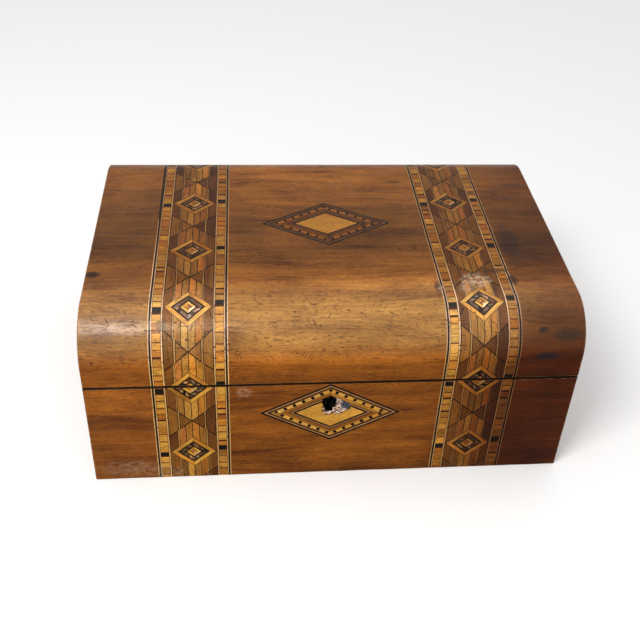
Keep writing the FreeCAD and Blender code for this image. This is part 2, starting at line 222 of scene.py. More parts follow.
def conform(outlines):
    """Adds to each outline the corners of its neighbours that lie on its edges."""
    corners = sorted({(round(v, 4), round(u, 4)) for outline in outlines for u, v in outline})
    rows = [c[0] for c in corners]
    done = []
    for outline in outlines:
        points = [(round(u, 4), round(v, 4)) for u, v in outline]
        full = []
        for i, p in enumerate(points):
            q = points[(i + 1) % len(points)]
            if p == q:
                continue
            full.append(p)
            edge = (q[0] - p[0], q[1] - p[1])
            length = math.hypot(*edge)
            first = bisect.bisect_left(rows, min(p[1], q[1]) - 0.002)
            last = bisect.bisect_right(rows, max(p[1], q[1]) + 0.002)
            touching = []
            for v, u in corners[first:last]:
                step = (u - p[0], v - p[1])
                along = (step[0] * edge[0] + step[1] * edge[1]) / length
                if 0.003 < along < length - 0.003 and abs(cross(edge, step)) / length < 0.002:
                    touching.append((along, (u, v)))
            full.extend(point for _, point in sorted(touching))
        done.append(full)
    return done


def inset(outline, distance):
    """Outline moved in by distance, corner for corner, or None where it is too thin."""
    count = len(outline)
    moved = []
    for i in range(count):
        before, here, after = outline[i - 1], outline[i], outline[(i + 1) % count]
        a = Vector((here[0] - before[0], here[1] - before[1])).normalized()
        b = Vector((after[0] - here[0], after[1] - here[1])).normalized()
        normal_a, normal_b = Vector((-a.y, a.x)), Vector((-b.y, b.x))
        share = 1 + normal_a.dot(normal_b)
        if share < 0.15:
            return None
        shift = (normal_a + normal_b) * (distance / share)
        moved.append((here[0] + shift.x, here[1] + shift.y))
    for i in range(count):
        j = (i + 1) % count
        old = (outline[j][0] - outline[i][0], outline[j][1] - outline[i][1])
        new = (moved[j][0] - moved[i][0], moved[j][1] - moved[i][1])
        if old[0] * new[0] + old[1] * new[1] <= 0:
            return None
    return moved


class Diamond:
    """The plan of one diamond or lozenge; a share of 1 is its whole size."""

    def __init__(self, centre, half, tilt=0.0, first=0):
        self.centre = centre
        self.half = half
        self.tilt = tilt
        self.first = first          # corner that its rings start from, from the left one

    def point(self, across, up):
        u = self.half[0] * across
        v = self.half[1] * up
        return (self.centre[0] + u + v * self.tilt, self.centre[1] + v + u * self.tilt)

    def corners(self, share):
        """Left, lower, right and upper corner, from the first one on."""
        places = ((-share, 0), (0, -share), (share, 0), (0, share))
        return [self.point(*p) for p in places[self.first:] + places[:self.first]]

    def side(self, outer, inner, number):
        far, near = self.corners(outer), self.corners(inner)
        following = (number + 1) % 4
        return [far[number], far[following], near[following], near[number]]

    def ring(self, outer, inner, colours, joint=0.08):
        tiles = []
        for number in range(4):
            outline = self.side(outer, inner, number)
            edge = (outline[1][0] - outline[0][0], outline[1][1] - outline[0][1])
            angle = math.degrees(math.atan2(edge[1], edge[0]))
            tiles.append(Tile(outline, colours[number % len(colours)], angle, joint))
        return tiles

    def rings(self, shares, colours):
        """Rings without joints, one inside the other, each between two of the shares."""
        tiles = []
        for outer, inner, ring_colours in zip(shares, shares[1:], colours):
            tiles += self.ring(outer, inner, ring_colours, 0.0)
        return tiles


# ---- from flat to solid ----

def lid_place(u, v, depth):
    """Point on the lid at a depth under its surface, and the direction out of it."""
    if v > MIDDLE:
        point, out = lid_place(u, 2 * MIDDLE - v, depth)
        return Vector((u, -point.y, point.z)), Vector((0, -out.y, out.z))
    if v <= SPRING:
        return Vector((u, -HALF_D + depth, v)), Vector((0, -1, 0))
    if v <= TOP_START:
        angle = (v - SPRING) / ROUND
        out = Vector((0, -math.cos(angle), math.sin(angle)))
        return Vector((u, -FLAT, SPRING)) + out * (ROUND - depth), out
    return Vector((u, v - MIDDLE, HEIGHT - depth)), Vector((0, 0, 1))


def front_place(u, v, depth):
    return Vector((u, -HALF_D + depth, v)), Vector((0, -1, 0))


def back_place(u, v, depth):
    return Vector((-u, HALF_D - depth, v)), Vector((0, 1, 0))


def right_place(u, v, depth):
    return Vector((HALF_W - depth, u, v)), Vector((1, 0, 0))


def left_place(u, v, depth):
    return Vector((-HALF_W + depth, -u, v)), Vector((-1, 0, 0))


def lid_levels():
    """Values of v at which a sheet over the lid is divided so that it follows the shoulders."""
    return [start + ARC * i / ARC_STEPS for start in (SPRING, TOP_END) for i in range(ARC_STEPS + 1)]


class Edge:
    """A worn arris along a line of constant u (axis 0) or v (axis 1)."""

    def __init__(self, axis, at, outward, radius, crust_and_seam_shade=False):
        self.axis = axis
        self.at = at
        self.outward = outward      # +1 where the sheet ends towards higher values
        self.radius = radius
        self.crust_and_seam_shade = crust_and_seam_shade          # True beside the seam, where the worn edge gets painted shade

    def levels(self):
        return [self.at - self.outward * self.radius * share
                for share in (0.0, 0.1, 0.3, 0.6, 1.0, 1.5)]

    def ease(self, u, v):
        """Depth lost to the worn edge at a point, and the lean of the surface there."""
        place, along = (u, v) if self.axis == 0 else (v, u)
        rough = noise.noise(Vector((along * 0.07, self.at * 1.7, self.axis * 9.1)))
        radius = self.radius * (1 + 0.35 * rough)
        gap = (self.at - place) * self.outward
        if gap >= radius:
            return 0.0, 0.0
        lean = min(0.94, (radius - gap) / radius)
        return radius * (1 - math.sqrt(1 - lean * lean)), lean * self.outward


def band_slices(points, axis, levels):
    """Splits a convex face at each level of one coordinate."""
    values = [p[axis] for p in points]
    low, high = min(values), max(values)
    cuts = [c for c in levels if low + 0.002 < c < high - 0.002]
    if not cuts:
        return [points]
    normal = (1, 0) if axis == 0 else (0, 1)
    back = (-normal[0], -normal[1])
    parts, rest = [], points
    for c in cuts:
        part = keep_side(rest, normal, c)
        rest = keep_side(rest, back, -c)
        if len(part) > 2:
            parts.append(part)
    if len(rest) > 2:
        parts.append(rest)
    return parts


def sliced(points, cuts_u, cuts_v):
    """A convex face split at the levels of both coordinates."""
    return [part for strip in band_slices(points, 1, cuts_v) for part in band_slices(strip, 0, cuts_u)]


def add_attribute(mesh, name, kind, domain, values):
    """Writes one number, vector or colour for each corner or point of a mesh."""
    field = {"FLOAT_COLOR": "color", "FLOAT_VECTOR": "vector", "FLOAT": "value"}[kind]
    if kind != "FLOAT":
        values = [number for value in values for number in value]
    mesh.attributes.new(name, kind, domain).data.foreach_set(field, values)


def put_in_scene(name, data):
    made = bpy.data.objects.new(name, data)
    bpy.context.scene.collection.objects.link(made)
    return made


GROOVE = 0.05       # depth of a glue line
WALL_SHADE = 0.16   # how dark the cut edge of a sheet is, against its face


class SheetMesh:
    """Gathers faces with their colour and grain, then writes one mesh."""

    def __init__(self, place, edges, patina):
        self.place = place
        self.aside = 0 if place in (front_place, lid_place) else AWAY
        self.edges = edges
        self.patina = patina
        self.index = {}
        self.points, self.normals, self.flat, self.wear, self.seam_shade = ([] for _ in range(5))
        self.faces, self.colours, self.grains, self.loop_normals = ([] for _ in range(4))

    def vertex(self, u, v, depth, top):
        """Number of the point at a place, made when it is first asked for."""
        key = (round(u, 3), round(v, 3), round(depth, 3), top)
        if key in self.index:
            return self.index[key]
        lost, lean_u, lean_v, seam_dark = 0.0, 0.0, 0.0, 0.0
        if top:
            for edge in self.edges:
                drop, lean = edge.ease(u, v)
                lost = max(lost, drop)
                if edge.crust_and_seam_shade:
                    seam_dark = max(seam_dark, abs(lean))
                if edge.axis == 0:
                    lean_u += lean
                else:
                    lean_v += lean
        point, out = self.place(u, v, max(depth, lost))
        if lean_u or lean_v:
            along_u = (self.place(u + 0.1, v, depth)[0] - self.place(u, v, depth)[0]) * 10
            along_v = out.cross(along_u)
            upright = math.sqrt(max(0.1, 1 - lean_u * lean_u - lean_v * lean_v))
            out = (out * upright + along_u * lean_u + along_v * lean_v).normalized()
        self.index[key] = len(self.points)
        self.points.append(point * MM)
        self.normals.append(out)
        self.flat.append((u + self.aside, v, 0.0))
        self.wear.append(min(1.0, abs(lean_u) + abs(lean_v)))
        # Painted shade: full on the walls and backs of a sheet, and on worn edges beside the seam as strong
        # as their lean
        self.seam_shade.append(seam_dark if top else 1.0)
        return self.index[key]

    def face(self, points, colour, top, turn):
        """Adds one face; turn gives the grain's own coordinates at a place."""
        ids = [self.vertex(u, v, d, top) for u, v, d in points]
        kept = [i for k, i in enumerate(ids) if i != ids[k - 1]]
        if len(set(kept)) < 3 or len(kept) != len(set(kept)):
            return
        if not top:
            kept.reverse()
        self.faces.append(kept)
        out = Vector((0, 0, 0))
        first = self.points[kept[0]]
        for b, c in zip(kept[1:], kept[2:]):
            out += (self.points[b] - first).cross(self.points[c] - first)
        out = out.normalized() if out.length > 0 else Vector((0, 0, 1))
        for i in kept:
            u, v, _ = self.flat[i]
            self.colours.append(toned(colour, self.patina(u, v)))
            self.grains.append(turn(u, v))
            self.loop_normals.append(self.normals[i] if top else out)

    def write(self, name, material):
        mesh = bpy.data.meshes.new(name)
        mesh.from_pydata(self.points, [], self.faces)
        add_attribute(mesh, "tone", "FLOAT_COLOR", "CORNER", self.colours)
        add_attribute(mesh, "grain", "FLOAT_VECTOR", "CORNER", self.grains)
        add_attribute(mesh, "flat", "FLOAT_VECTOR", "POINT", self.flat)
        add_attribute(mesh, "worn", "FLOAT", "POINT", self.wear)
        add_attribute(mesh, "seam_shade", "FLOAT", "POINT", self.seam_shade)
        mesh.polygons.foreach_set("use_smooth", [True] * len(mesh.polygons))
        mesh.materials.append(material)
        mesh.update()
        mesh.normals_split_custom_set([tuple(n) for n in self.loop_normals])
        return put_in_scene(name, mesh)


def lay_sheet(name, tiles, place, material, seed, levels_u, levels_v, edges, patina, spread=0.10):
    """Builds one closed sheet from flat tiles: grooved top, walls all round, and back."""
    draw = random.Random(seed)
    sheet = SheetMesh(place, edges, patina)
    cuts_u = sorted(set(levels_u) | {c for e in edges if e.axis == 0 for c in e.levels()})
    cuts_v = sorted(set(levels_v) | {c for e in edges if e.axis == 1 for c in e.levels()})
    outlines = conform([anticlockwise(tile.outline) for tile in tiles])
    woods = {}
    for tile, outline in zip(tiles, outlines):
        if tile.source not in woods:
            woods[tile.source] = tile_wood(tile, draw, spread)
        colour, turn = woods[tile.source]
        for points, paint in tile_faces(tile, outline, colour):
            for part in sliced(points, cuts_u, cuts_v):
                sheet.face(part, paint, True, turn)
        for part in sliced([(u, v, SKIN) for u, v in outline], cuts_u, cuts_v):
            sheet.face(part, colour, False, turn)
    raise_walls(sheet)
    return sheet.write(name, material)


def tile_wood(tile, draw, spread):
    """The colour of one piece of wood and the frame its grain is drawn in."""
    angle = math.radians(tile.angle + (draw.uniform(-3, 3) if spread else 0.0))
    along = (math.cos(angle), math.sin(angle))
    start = (draw.uniform(0, 900), draw.uniform(0, 900), draw.uniform(0, 90))

    def turn(u, v):
        return (u * along[0] + v * along[1] + start[0], v * along[0] - u * along[1] + start[1], start[2])

    return shade(tile.colour, 1 + draw.uniform(-spread, spread)), turn


def tile_faces(tile, outline, colour):
    """The top of one tile, with its glue line sunk round it where the tile is wide enough."""
    inner = inset(outline, tile.joint) if tile.joint else None
    if not inner:
        depth = GROOVE if tile.joint else 0.0
        dull = between(colour, GLUE, 0.35) if tile.joint else colour
        return [([(u, v, depth) for u, v in outline], dull)]
    faces = [([(u, v, 0.0) for u, v in inner], colour)]
    glue = between(GLUE, tile.colour, 0.06)
    for i, p in enumerate(outline):
        j = (i + 1) % len(outline)
        q = outline[j]
        faces.append(([(*p, GROOVE), (*q, GROOVE), (*inner[j], 0.0), (*inner[i], 0.0)], glue))
    return faces


def open_rims(sheet):
    """The sides of top faces that no other face meets, as pairs of points."""
    tops = {i for (_, _, _, top), i in sheet.index.items() if top}
    sides = {(a, b): 1 for face in sheet.faces for a, b in zip(face, face[1:] + face[:1])}
    return [(a, b) for a, b in sides if (b, a) not in sides and a in tops and b in tops]


def raise_walls(sheet):
    """Joins the rim of the top faces to the rim of the back faces."""
    below = {(u, v): i for (u, v, _, top), i in sheet.index.items() if not top}
    places = {i: key[:2] for key, i in sheet.index.items()}
    for a, b in open_rims(sheet):
        low_a, low_b = below.get(places[a]), below.get(places[b])
        if low_a is None or low_b is None or low_a == low_b:
            continue
        first = sheet.points[b]
        out = (sheet.points[a] - first).cross(sheet.points[low_a] - first)
        if out.length < 1e-15:
            continue
        out.normalize()
        wall = [b, a, low_a, low_b]
        sheet.faces.append(wall)
        colour = toned(shade(WALNUT, WALL_SHADE), sheet.patina(*places[a]))
        for i in wall:
            sheet.colours.append(colour)
            sheet.grains.append(sheet.flat[i])
            sheet.loop_normals.append(out)


# ---- shading helpers ----

def is_socket(value):
    return isinstance(value, bpy.types.NodeSocket)


def node(kind, settings=None, **sockets):
    """Adds a node to the shader tree that its inputs come from.

    Each keyword names an input, by its name or as i0, i1 and so on.
    """
    tree = next(value.id_data for value in sockets.values() if is_socket(value))
    made = tree.nodes.new(kind)
    for key, value in (settings or {}).items():
        setattr(made, key, value)
    for key, value in sockets.items():
        numbered = key[0] == "i" and key[1:].isdigit()
        socket = made.inputs[int(key[1:])] if numbered else made.inputs[key.replace("_", " ")]
        if is_socket(value):
            tree.links.new(value, socket)
        else:
            socket.default_value = value
    return made


def maths(operation, a, b=0.0, c=0.0, clamp=False):
    settings = {"operation": operation, "use_clamp": clamp}
    return node("ShaderNodeMath", settings, i0=a, i1=b, i2=c).outputs[0]


def times(a, b):
    return maths("MULTIPLY", a, b)


def linear(value, factor, offset, clamp=False):
    return maths("MULTIPLY_ADD", value, factor, offset, clamp)


def vector_maths(operation, a, b=(0, 0, 0)):
    return node("ShaderNodeVectorMath", {"operation": operation}, i0=a, i1=b).outputs[0]


def vector_times(a, b):
    return vector_maths("MULTIPLY", a, b)


def length_of(vector):
    return node("ShaderNodeVectorMath", {"operation": "LENGTH"}, i0=vector).outputs["Value"]


def ramp(value, low, high, start=0.0, end=1.0):
    """Smooth change from start to end as value goes from low to high."""
    settings = {"interpolation_type": "SMOOTHSTEP"}
    return node("ShaderNodeMapRange", settings, Value=value, From_Min=low, From_Max=high,
                To_Min=start, To_Max=end).outputs[0]


def cloud(vector, scale, detail=3.0, rough=0.55, swirl=0.0):
    """Noise with its own scale along each axis, in cycles per millimetre."""
    scaled = vector_times(vector, scale)
    return node("ShaderNodeTexNoise", None, Vector=scaled, Scale=1.0, Detail=detail,
                Roughness=rough, Distortion=swirl).outputs["Fac"]


def mix(share, a, b, mode="MIX"):
    a, b = (colour if is_socket(colour) else (*colour, 1.0) for colour in (a, b))
    settings = {"data_type": "RGBA", "blend_type": mode}
    return node("ShaderNodeMix", settings, i0=share, i6=a, i7=b).outputs[2]


def coats(colour, *layers):
    """A colour under several others, each given as (mask, strength, colour)."""
    for mask, strength, tint in layers:
        colour = mix(times(mask, strength), colour, tint)
    return colour


def feed(shader, name, value):
    shader.id_data.links.new(value, shader.inputs[name])


def attribute(shader, name, output="Vector"):
    made = shader.id_data.nodes.new("ShaderNodeAttribute")
    made.attribute_name = name
    return made.outputs[output]


def turned(vector, degrees):
    """Coordinates turned about the z axis, which for flat ones is the sheet's normal."""
    settings = {"rotation_type": "Z_AXIS"}
    return node("ShaderNodeVectorRotate", settings, Vector=vector, Angle=math.radians(degrees)).outputs[0]


def new_material(name):
    material = bpy.data.materials.new(name)
    material.use_nodes = True
    return material, material.node_tree.nodes["Principled BSDF"]


def dashes(flat, degrees, length, width, kept):
    """Scattered straight marks of about one length and width; kept is the share that is drawn."""
    radius = 0.12
    moved = vector_maths("ADD", turned(flat, degrees), (degrees * 3.7, degrees * 1.3, 0))
    cells = vector_times(moved, (2 * radius / length, 2 * radius / width, 0))
    marks = node("ShaderNodeTexVoronoi", {"voronoi_dimensions": "2D"}, Vector=cells, Scale=1.0)
    chance = node("ShaderNodeSeparateXYZ", None, Vector=marks.outputs["Color"])
    size = linear(chance.outputs["Y"], radius, 0.3 * radius)
    inside = ramp(maths("DIVIDE", marks.outputs["Distance"], size), 1.0, 0.6)
    chosen = maths("LESS_THAN", chance.outputs["X"], kept)
    return times(inside, chosen)


def largest(values):
    values = list(values)
    total = values[0]
    for value in values[1:]:
        total = maths("MAXIMUM", total, value)
    return total


def scratches(flat, directions, length, width, kept):
    """Straight marks lying in several directions; 1 in a mark, 0 elsewhere."""
    return largest(dashes(flat, degrees, length, width, kept) for degrees in directions)


# Stains, worn places and a pale greyish patch low on the left of the front, as (u, v, half width, half
# height, strength).
DARK_STAINS = (
    (-136, 153, 5.0, 3.2, 0.90),
    (119, 91, 8.5, 3.0, 0.90),
    (115, 107, 3.0, 1.8, 0.95),
    (130, 104, 9.0, 4.0, 0.60),
    (104, 143, 3.0, 5.0, 0.75),
    (59, 138, 2.4, 5.0, 0.80),
    (96, 152, 8.0, 3.0, 0.55),
    (23, 200, 2.2, 6.0, 0.60),
    (1, 187, 1.6, 4.0, 0.60),
    (-96, 113, 3.0, 4.0, 0.60),
    (110, 178, 7.0, 26.0, 0.50),
    (48, 252, 6.0, 1.4, 0.60),
    (-49, 198, 13.0, 22.0, 0.22),
    (-122, 148, 22.0, 13.0, 0.20),
    (42, 51.4, 4.5, 0.5, 0.85),
    (-46, 53.2, 3.0, 0.5, 0.60),
)
PALE_MARKS = (
    (82, 143, 9.0, 7.0, 1.00),
    (75, 136, 5.0, 4.0, 0.60),
    (-52, 69, 4.5, 4.0, 0.50),
    (60, 137, 2.0, 4.0, 0.70),
    # A pale greyish patch low on the left of the front.
    (-118, 9, 20.0, 7.0, 0.28),
    (-100, 5, 12.0, 5.0, 0.26),
)


def spot(flat, ragged, u, v, half_u, half_v, strength):
    """One ragged oval mark."""
    scaled = vector_times(vector_maths("SUBTRACT", flat, (u, v, 0)), (1 / half_u, 1 / half_v, 0))
    return ramp(maths("ADD", length_of(scaled), ragged), 1.25, 0.45, 0.0, strength)


def spots(flat, places, ragged):
    """Strength of the strongest of the listed marks."""
    return largest(spot(flat, ragged, *place) for place in places)


def old_polish(shader, flat, colour, pores):
    """Dings, scratches, stains, painted seam shade and polish shared by every wooden sheet of the box."""
    nicks = scratches(flat, (2, -5, 9, 37, -55, 68), 5.5, 0.50, 0.28)
    dings = scratches(flat, (15,), 1.8, 1.0, 0.30)
    nicks = maths("MAXIMUM", nicks, dings)
    fine = scratches(flat, (1, -3, 58, -48), 11.0, 0.28, 0.25)
    where = ramp(cloud(flat, (0.02, 0.03, 0.0), 3.0), 0.38, 0.66)
    across, height = node("ShaderNodeSeparateXYZ", None, Vector=flat).outputs[:2]
    shoulder = times(ramp(height, 76, 96), ramp(height, 150, 120))
    chance = maths("ADD", times(where, 0.45), times(shoulder, 0.60), clamp=True)
    nicked = times(nicks, chance)
    rubbed = times(fine, where)
    ragged = linear(cloud(flat, (0.35, 0.45, 0.0), 5.0, 0.65), 1.5, -0.75)
    painted = coats(colour, (nicked, 0.95, (0.018, 0.006, 0.003)))
    painted = mix(times(rubbed, 0.55), painted, (2.1, 2.4, 2.8), "MULTIPLY")
    stain = spots(flat, DARK_STAINS, ragged)
    painted = mix(stain, painted, (0.010, 0.006, 0.007))
    broken = ramp(cloud(flat, (0.28, 0.45, 0.0), 6.0, 0.72), 0.38, 0.66)
    pale = times(spots(flat, PALE_MARKS, ragged), broken)
    painted = mix(pale, painted, (0.46, 0.33, 0.22))
    worn = attribute(shader, "worn", "Fac")
    edge_noise = ramp(cloud(flat, (0.10, 0.3, 0.0), 5.0, 0.7), 0.44, 0.60)
    arris = times(ramp(worn, 0.0, 0.25), edge_noise)
    # Painted shade, near black, on the cut edges of the sheets and along the worn edges beside the seam.
    shadow_strength = ramp(attribute(shader, "seam_shade", "Fac"), 0.12, 0.55)
    painted = coats(painted, (arris, 0.5, (0.36, 0.17, 0.07)), (shadow_strength, 0.96, (0.005, 0.003, 0.002)))
    feed(shader, "Base Color", painted)
    lustre = times(ramp(height, 88, 108, 0.05, 0.46), ramp(height, 120, 150, 1.0, 0.30))
    feed(shader, "Specular IOR Level", lustre)
    fresh = ramp(across, -92.0, -116.0)
    feed(shader, "Specular Tint", mix(fresh, (1.0, 0.82, 0.60), (1.0, 1.0, 1.0)))

    smear = cloud(flat, (0.03, 0.11, 0.0), 4.0, 0.6)
    gloss = ramp(smear, 0.30, 0.70, 0.24, 0.40)
    gloss = maths("ADD", gloss, times(nicked, 0.25))
    gloss = maths("ADD", gloss, times(pores, 0.12), clamp=True)
    feed(shader, "Roughness", gloss)

    ripple = cloud(flat, (0.05, 0.16, 0.0), 2.0, 0.5)
    height_map = times(ripple, 0.35)
    for cut, depth in ((pores, 0.025), (nicked, 0.05), (rubbed, 0.012)):
        height_map = maths("SUBTRACT", height_map, times(cut, depth))
    bump = node("ShaderNodeBump", None, Strength=0.75, Distance=MM, Height=height_map)
    feed(shader, "Normal", bump.outputs[0])


def wood_grain(grain, tone, contrast, fineness=1.0):
    """Blotches, streaks, hair lines and open pores over a base colour; the grain runs along x."""
    wander = cloud(grain, (0.012, 0.05, 1.0), 2.0, 0.5)
    push = node("ShaderNodeCombineXYZ", None, Y=linear(wander, 16.0, -8.0))
    wavy = vector_maths("ADD", grain, push.outputs[0])
    layers = (
        ((0.022, 0.050, 1.0), 5.0, 1.25),                       # clouds
        ((0.008, 0.14, 1.0), 4.0, 1.0),                         # broad streaks
        ((0.035 * fineness, 0.70 * fineness, 1.0), 4.0, 0.75),  # fine streaks
        ((0.30 * fineness, 1.6 * fineness, 1.0), 2.0, 0.55),    # flecks
    )
    figure = None
    for scale, detail, strength in layers:
        layer = linear(cloud(wavy, scale, detail, 0.6), strength, -strength / 2)
        figure = layer if figure is None else maths("ADD", figure, layer)
    share = linear(figure, contrast, 0.5, clamp=True)
    tint = mix(share, (0.28, 0.18, 0.20), (1.68, 1.86, 1.60))
    lit = mix(1.0, tone, tint, "MULTIPLY")
    pores = ramp(cloud(wavy, (0.30, 4.2, 1.0), 1.0, 0.4), 0.58, 0.68)
    return coats(lit, (pores, 0.58, (0.020, 0.007, 0.003))), pores


def veneer_material(name, contrast, fineness=1.0):
    """Old french-polished wood; its colour and grain direction come from the mesh."""
    material, shader = new_material(name)
    tone = attribute(shader, "tone", "Color")
    colour, pores = wood_grain(attribute(shader, "grain"), tone, contrast, fineness)
    old_polish(shader, attribute(shader, "flat"), colour, pores)
    return material


WALNUT_LOOK = veneer_material("walnut_veneer", 1.0)
PARQUETRY_LOOK = veneer_material("parquetry", 0.95, 1.8)
BLOCK_LOOK = veneer_material("block_banding", 0.90, 1.6)
LINE_LOOK = veneer_material("stringing", 0.5, 1.5)
DIAMOND_LOOK = veneer_material("diamond_inlay", 0.45, 1.5)


# ---- walnut fields ----

# How bright the walnut is up the front and over the lid, as (v, level): partly its worn polish, partly
# painted light and shade; both are brightest on the shoulder.
LIT_AND_WORN_LEVELS = ((0, 0.70), (34, 0.84), (74, 0.88), (84, 0.96), (98, 1.42), (120, 1.62), (136, 1.5),
          (155, 0.90), (172, 0.55), (212, 0.62), (236, 0.86), (252, 1.08), (330, 1.0))


def through(points, value):
    """Height at value of the line through points."""
    for (x0, y0), (x1, y1) in zip(points, points[1:]):
        if value <= x1:
            return y0 + (y1 - y0) * smooth_step(x0, x1, value)
    return points[-1][1]


def end_shadow(u, v):
    """The right-hand end is darker, most of all low down on the front."""
    shadow_strength = 0.70 - 0.32 * smooth_step(112, 145, v)
    start = 42 + 48 * smooth_step(75, 140, v)
    return 1 - shadow_strength * smooth_step(start, start + 58, u)


def worn_and_sheen_tint(v):
    """Amber low on the front; golden on the shoulder, partly wear and partly painted highlight; greyer on
    top, a painted sheen.
    """
    upper = smooth_step(88, 104, v)
    golden = hump(90, 105, 118, 156, v)
    return (1.0, 1.0 + 0.14 * upper + 0.42 * golden, 1.0 + 0.8 * upper + 2.0 * golden)


def veneer_tone(u, v):
    """Broad light and dark of the walnut over the whole front and lid: worn polish with painted light and
    shade from the levels above, painted shade at the right-hand end, darker towards the ends higher up, and
    random tone.
    """
    shadow = end_shadow(u, v)
    level = through(LIT_AND_WORN_LEVELS, v) * shadow
    ends = smooth_step(88, 112, abs(u)) * smooth_step(72, 84, v)
    level *= 1.06 - 0.12 * smooth_step(-40, 60, u) - (0.16 if u > 0 else 0.24) * ends
    level *= 1 + 0.22 * noise.noise(Vector((u * 0.010, v * 0.045, 3.0)))
    mottle = (0.24 + 0.40 * smooth_step(95, 110, u)) * (1 - smooth_step(70, 90, v))
    level *= 1 + mottle * noise.noise(Vector((u * 0.045, v * 0.075, 6.0)))
    red, green, blue = worn_and_sheen_tint(v)
    return (level * red, level * green * shadow ** 0.5, level * blue * shadow ** 0.8)


def plain_tone(u, v):
    """The back and the ends, evenly worn."""
    level = 0.78 + 0.14 * noise.noise(Vector((u * 0.015, v * 0.04, 8.0)))
    return (level, level, level)


def grid_levels(low, high, step):
    count = max(1, round((high - low) / step))
    return [low + (high - low) * i / count for i in range(count + 1)]


def field_tiles(u0, u1, v0, v1, diamond=None):
    """One leaf of walnut, in convex parts round the diamond let into it."""
    outlines = [rect(u0, u1, v0, v1)]
    if diamond:
        left, bottom, right, top = diamond.corners(1.0)
        outlines = [
            rect(u0, left[0], v0, v1),
            rect(right[0], u1, v0, v1),
            [(left[0], v0), (bottom[0], v0), bottom, left],
            [(bottom[0], v0), (right[0], v0), right, bottom],
            [left, top, (top[0], v1), (left[0], v1)],
            [top, right, (right[0], v1), (top[0], v1)],
        ]
    return [Tile(outline, WALNUT, 0.0, 0.0) for outline in outlines]


def base_edges():
    """The worn arrises along the base's rim, beside the seam, where shade is painted, and its foot."""
    return [Edge(1, RIM, 1, 0.95, True), Edge(1, 0.0, -1, 0.9)]


def lid_edges():
    """The same along the lid's front and back edges."""
    return [Edge(1, LID_FOOT, -1, 0.85, True), Edge(1, LID_END, 1, 0.5, True)]


def side_edge(side):
    return Edge(0, side * HALF_W, side, 0.8)


def notched(tiles, foot, flip=1):
    """Clears the tiles above a height round the hinge leaves let into the back."""
    for side in ("left", "right"):
        a, b = box_mm(f"hinge_base_leaf_{side}")
        tiles = without_box(tiles, *sorted((a.x * flip, b.x * flip)), foot, FAR)
    return tiles


# ---- the parquetry pattern ----

PERIOD = 51.1               # from one lozenge to the next
FIRST_LOZENGE = 21.9        # height of the lowest lozenge's centre
LOZENGE_WIDE = 12.9         # half width and half height
LOZENGE_HIGH = 12.0
STRIPE_INNER = 3.9          # where the chevrons' upright joints stand, from the centre
STRIPE_OUTER = 7.7
STRIPE_LINE = 8.4
CROSSING_IN = 0.6           # how much nearer the centre they stand beside a crossing
SLOPE = LOZENGE_HIGH / LOZENGE_WIDE
SEAM_LOZENGE = 1            # the lozenge that lies across the seam
PERIODS = range(-1, 8)      # enough of them to reach past both ends of the lid
BLACK_BLOCK = 3.4           # length of the black blocks, one in each period
BLACK_BLOCKS = ((20.2, 3), (24.7, None))    # for each strip, where the first is and which is missing
OUTERMOST = -103            # the pale line left of this u is black with dirt from DIRTY_FROM on
DIRTY_FROM = 178


def diced_ring(shape, outer, inner, draw, crisp):
    """A ring whose four sides are cut into small slanting pieces, light and dark in turn where crisp."""
    cells, lean = 5, 0.35
    tiles = []
    for side in shape.ring(outer, inner, (FLECK,)):
        a, b, c, d = side.outline
        for cell in range(cells):
            low, high = cell / cells, (cell + 1) / cells
            slant = lean / cells if cell else 0.0
            slant_high = lean / cells if cell + 1 < cells else 0.0
            outline = [between(a, b, low + slant), between(a, b, high + slant_high),
                       between(d, c, high - slant_high), between(d, c, low - slant)]
            pale = draw.choice((PINK, shade(PINK, 0.7), (0.23, 0.15, 0.10)))
            dark = draw.choice((DARK, BLACK, shade(FLECK, 0.7)))
            share = 0.95 if cell % 2 else 0.0
            if not crisp:
                share = draw.choice((0.05, 0.2, 0.4, 0.9))
            tiles.append(Tile(outline, between(dark, pale, share), side.angle, 0.07))
    return tiles


def lozenge(centre, draw, crisp):
    shape = Diamond(centre, (LOZENGE_WIDE, LOZENGE_HIGH), first=2)
    light = between(YELLOW, AMBER, draw.uniform(0.1, 0.6))
    warm = between(AMBER, ORANGE, draw.uniform(0.0, 0.5))
    tiles = shape.ring(1.0, 0.72, (warm, light), 0.1)
    tiles += shape.ring(0.72, 0.63, (BLACK,), 0.05)
    tiles += diced_ring(shape, 0.63, 0.42, draw, crisp)
    tiles += shape.ring(0.42, 0.33, (BLACK,), 0.05)
    tiles += shape.ring(0.33, 0.19, (YELLOW, shade(AMBER, 0.95), YELLOW, CREAM), 0.05)
    tips = shape.corners(0.19)
    for side, petal in enumerate((RED, AMBER, shade(ORANGE, 0.7), CREAM)):
        outline = [centre, tips[side], tips[(side + 1) % 4]]
        tiles.append(Tile(outline, between(petal, ORANGE, 0.5), 90, 0.04))
    return tiles


def striped(outline, centre_u, side, stripes):
    """An outline on one side of the centre cut into upright stripes, each (from, to, colour, joint)."""
    tiles = []
    for low, high, colour, joint in stripes:
        limits = sorted((centre_u + side * low, centre_u + side * high))
        part = inside_box(anticlockwise(outline), *limits, -FAR, FAR)
        if part:
            tiles.append(Tile(part, colour, 90, joint))
    return tiles


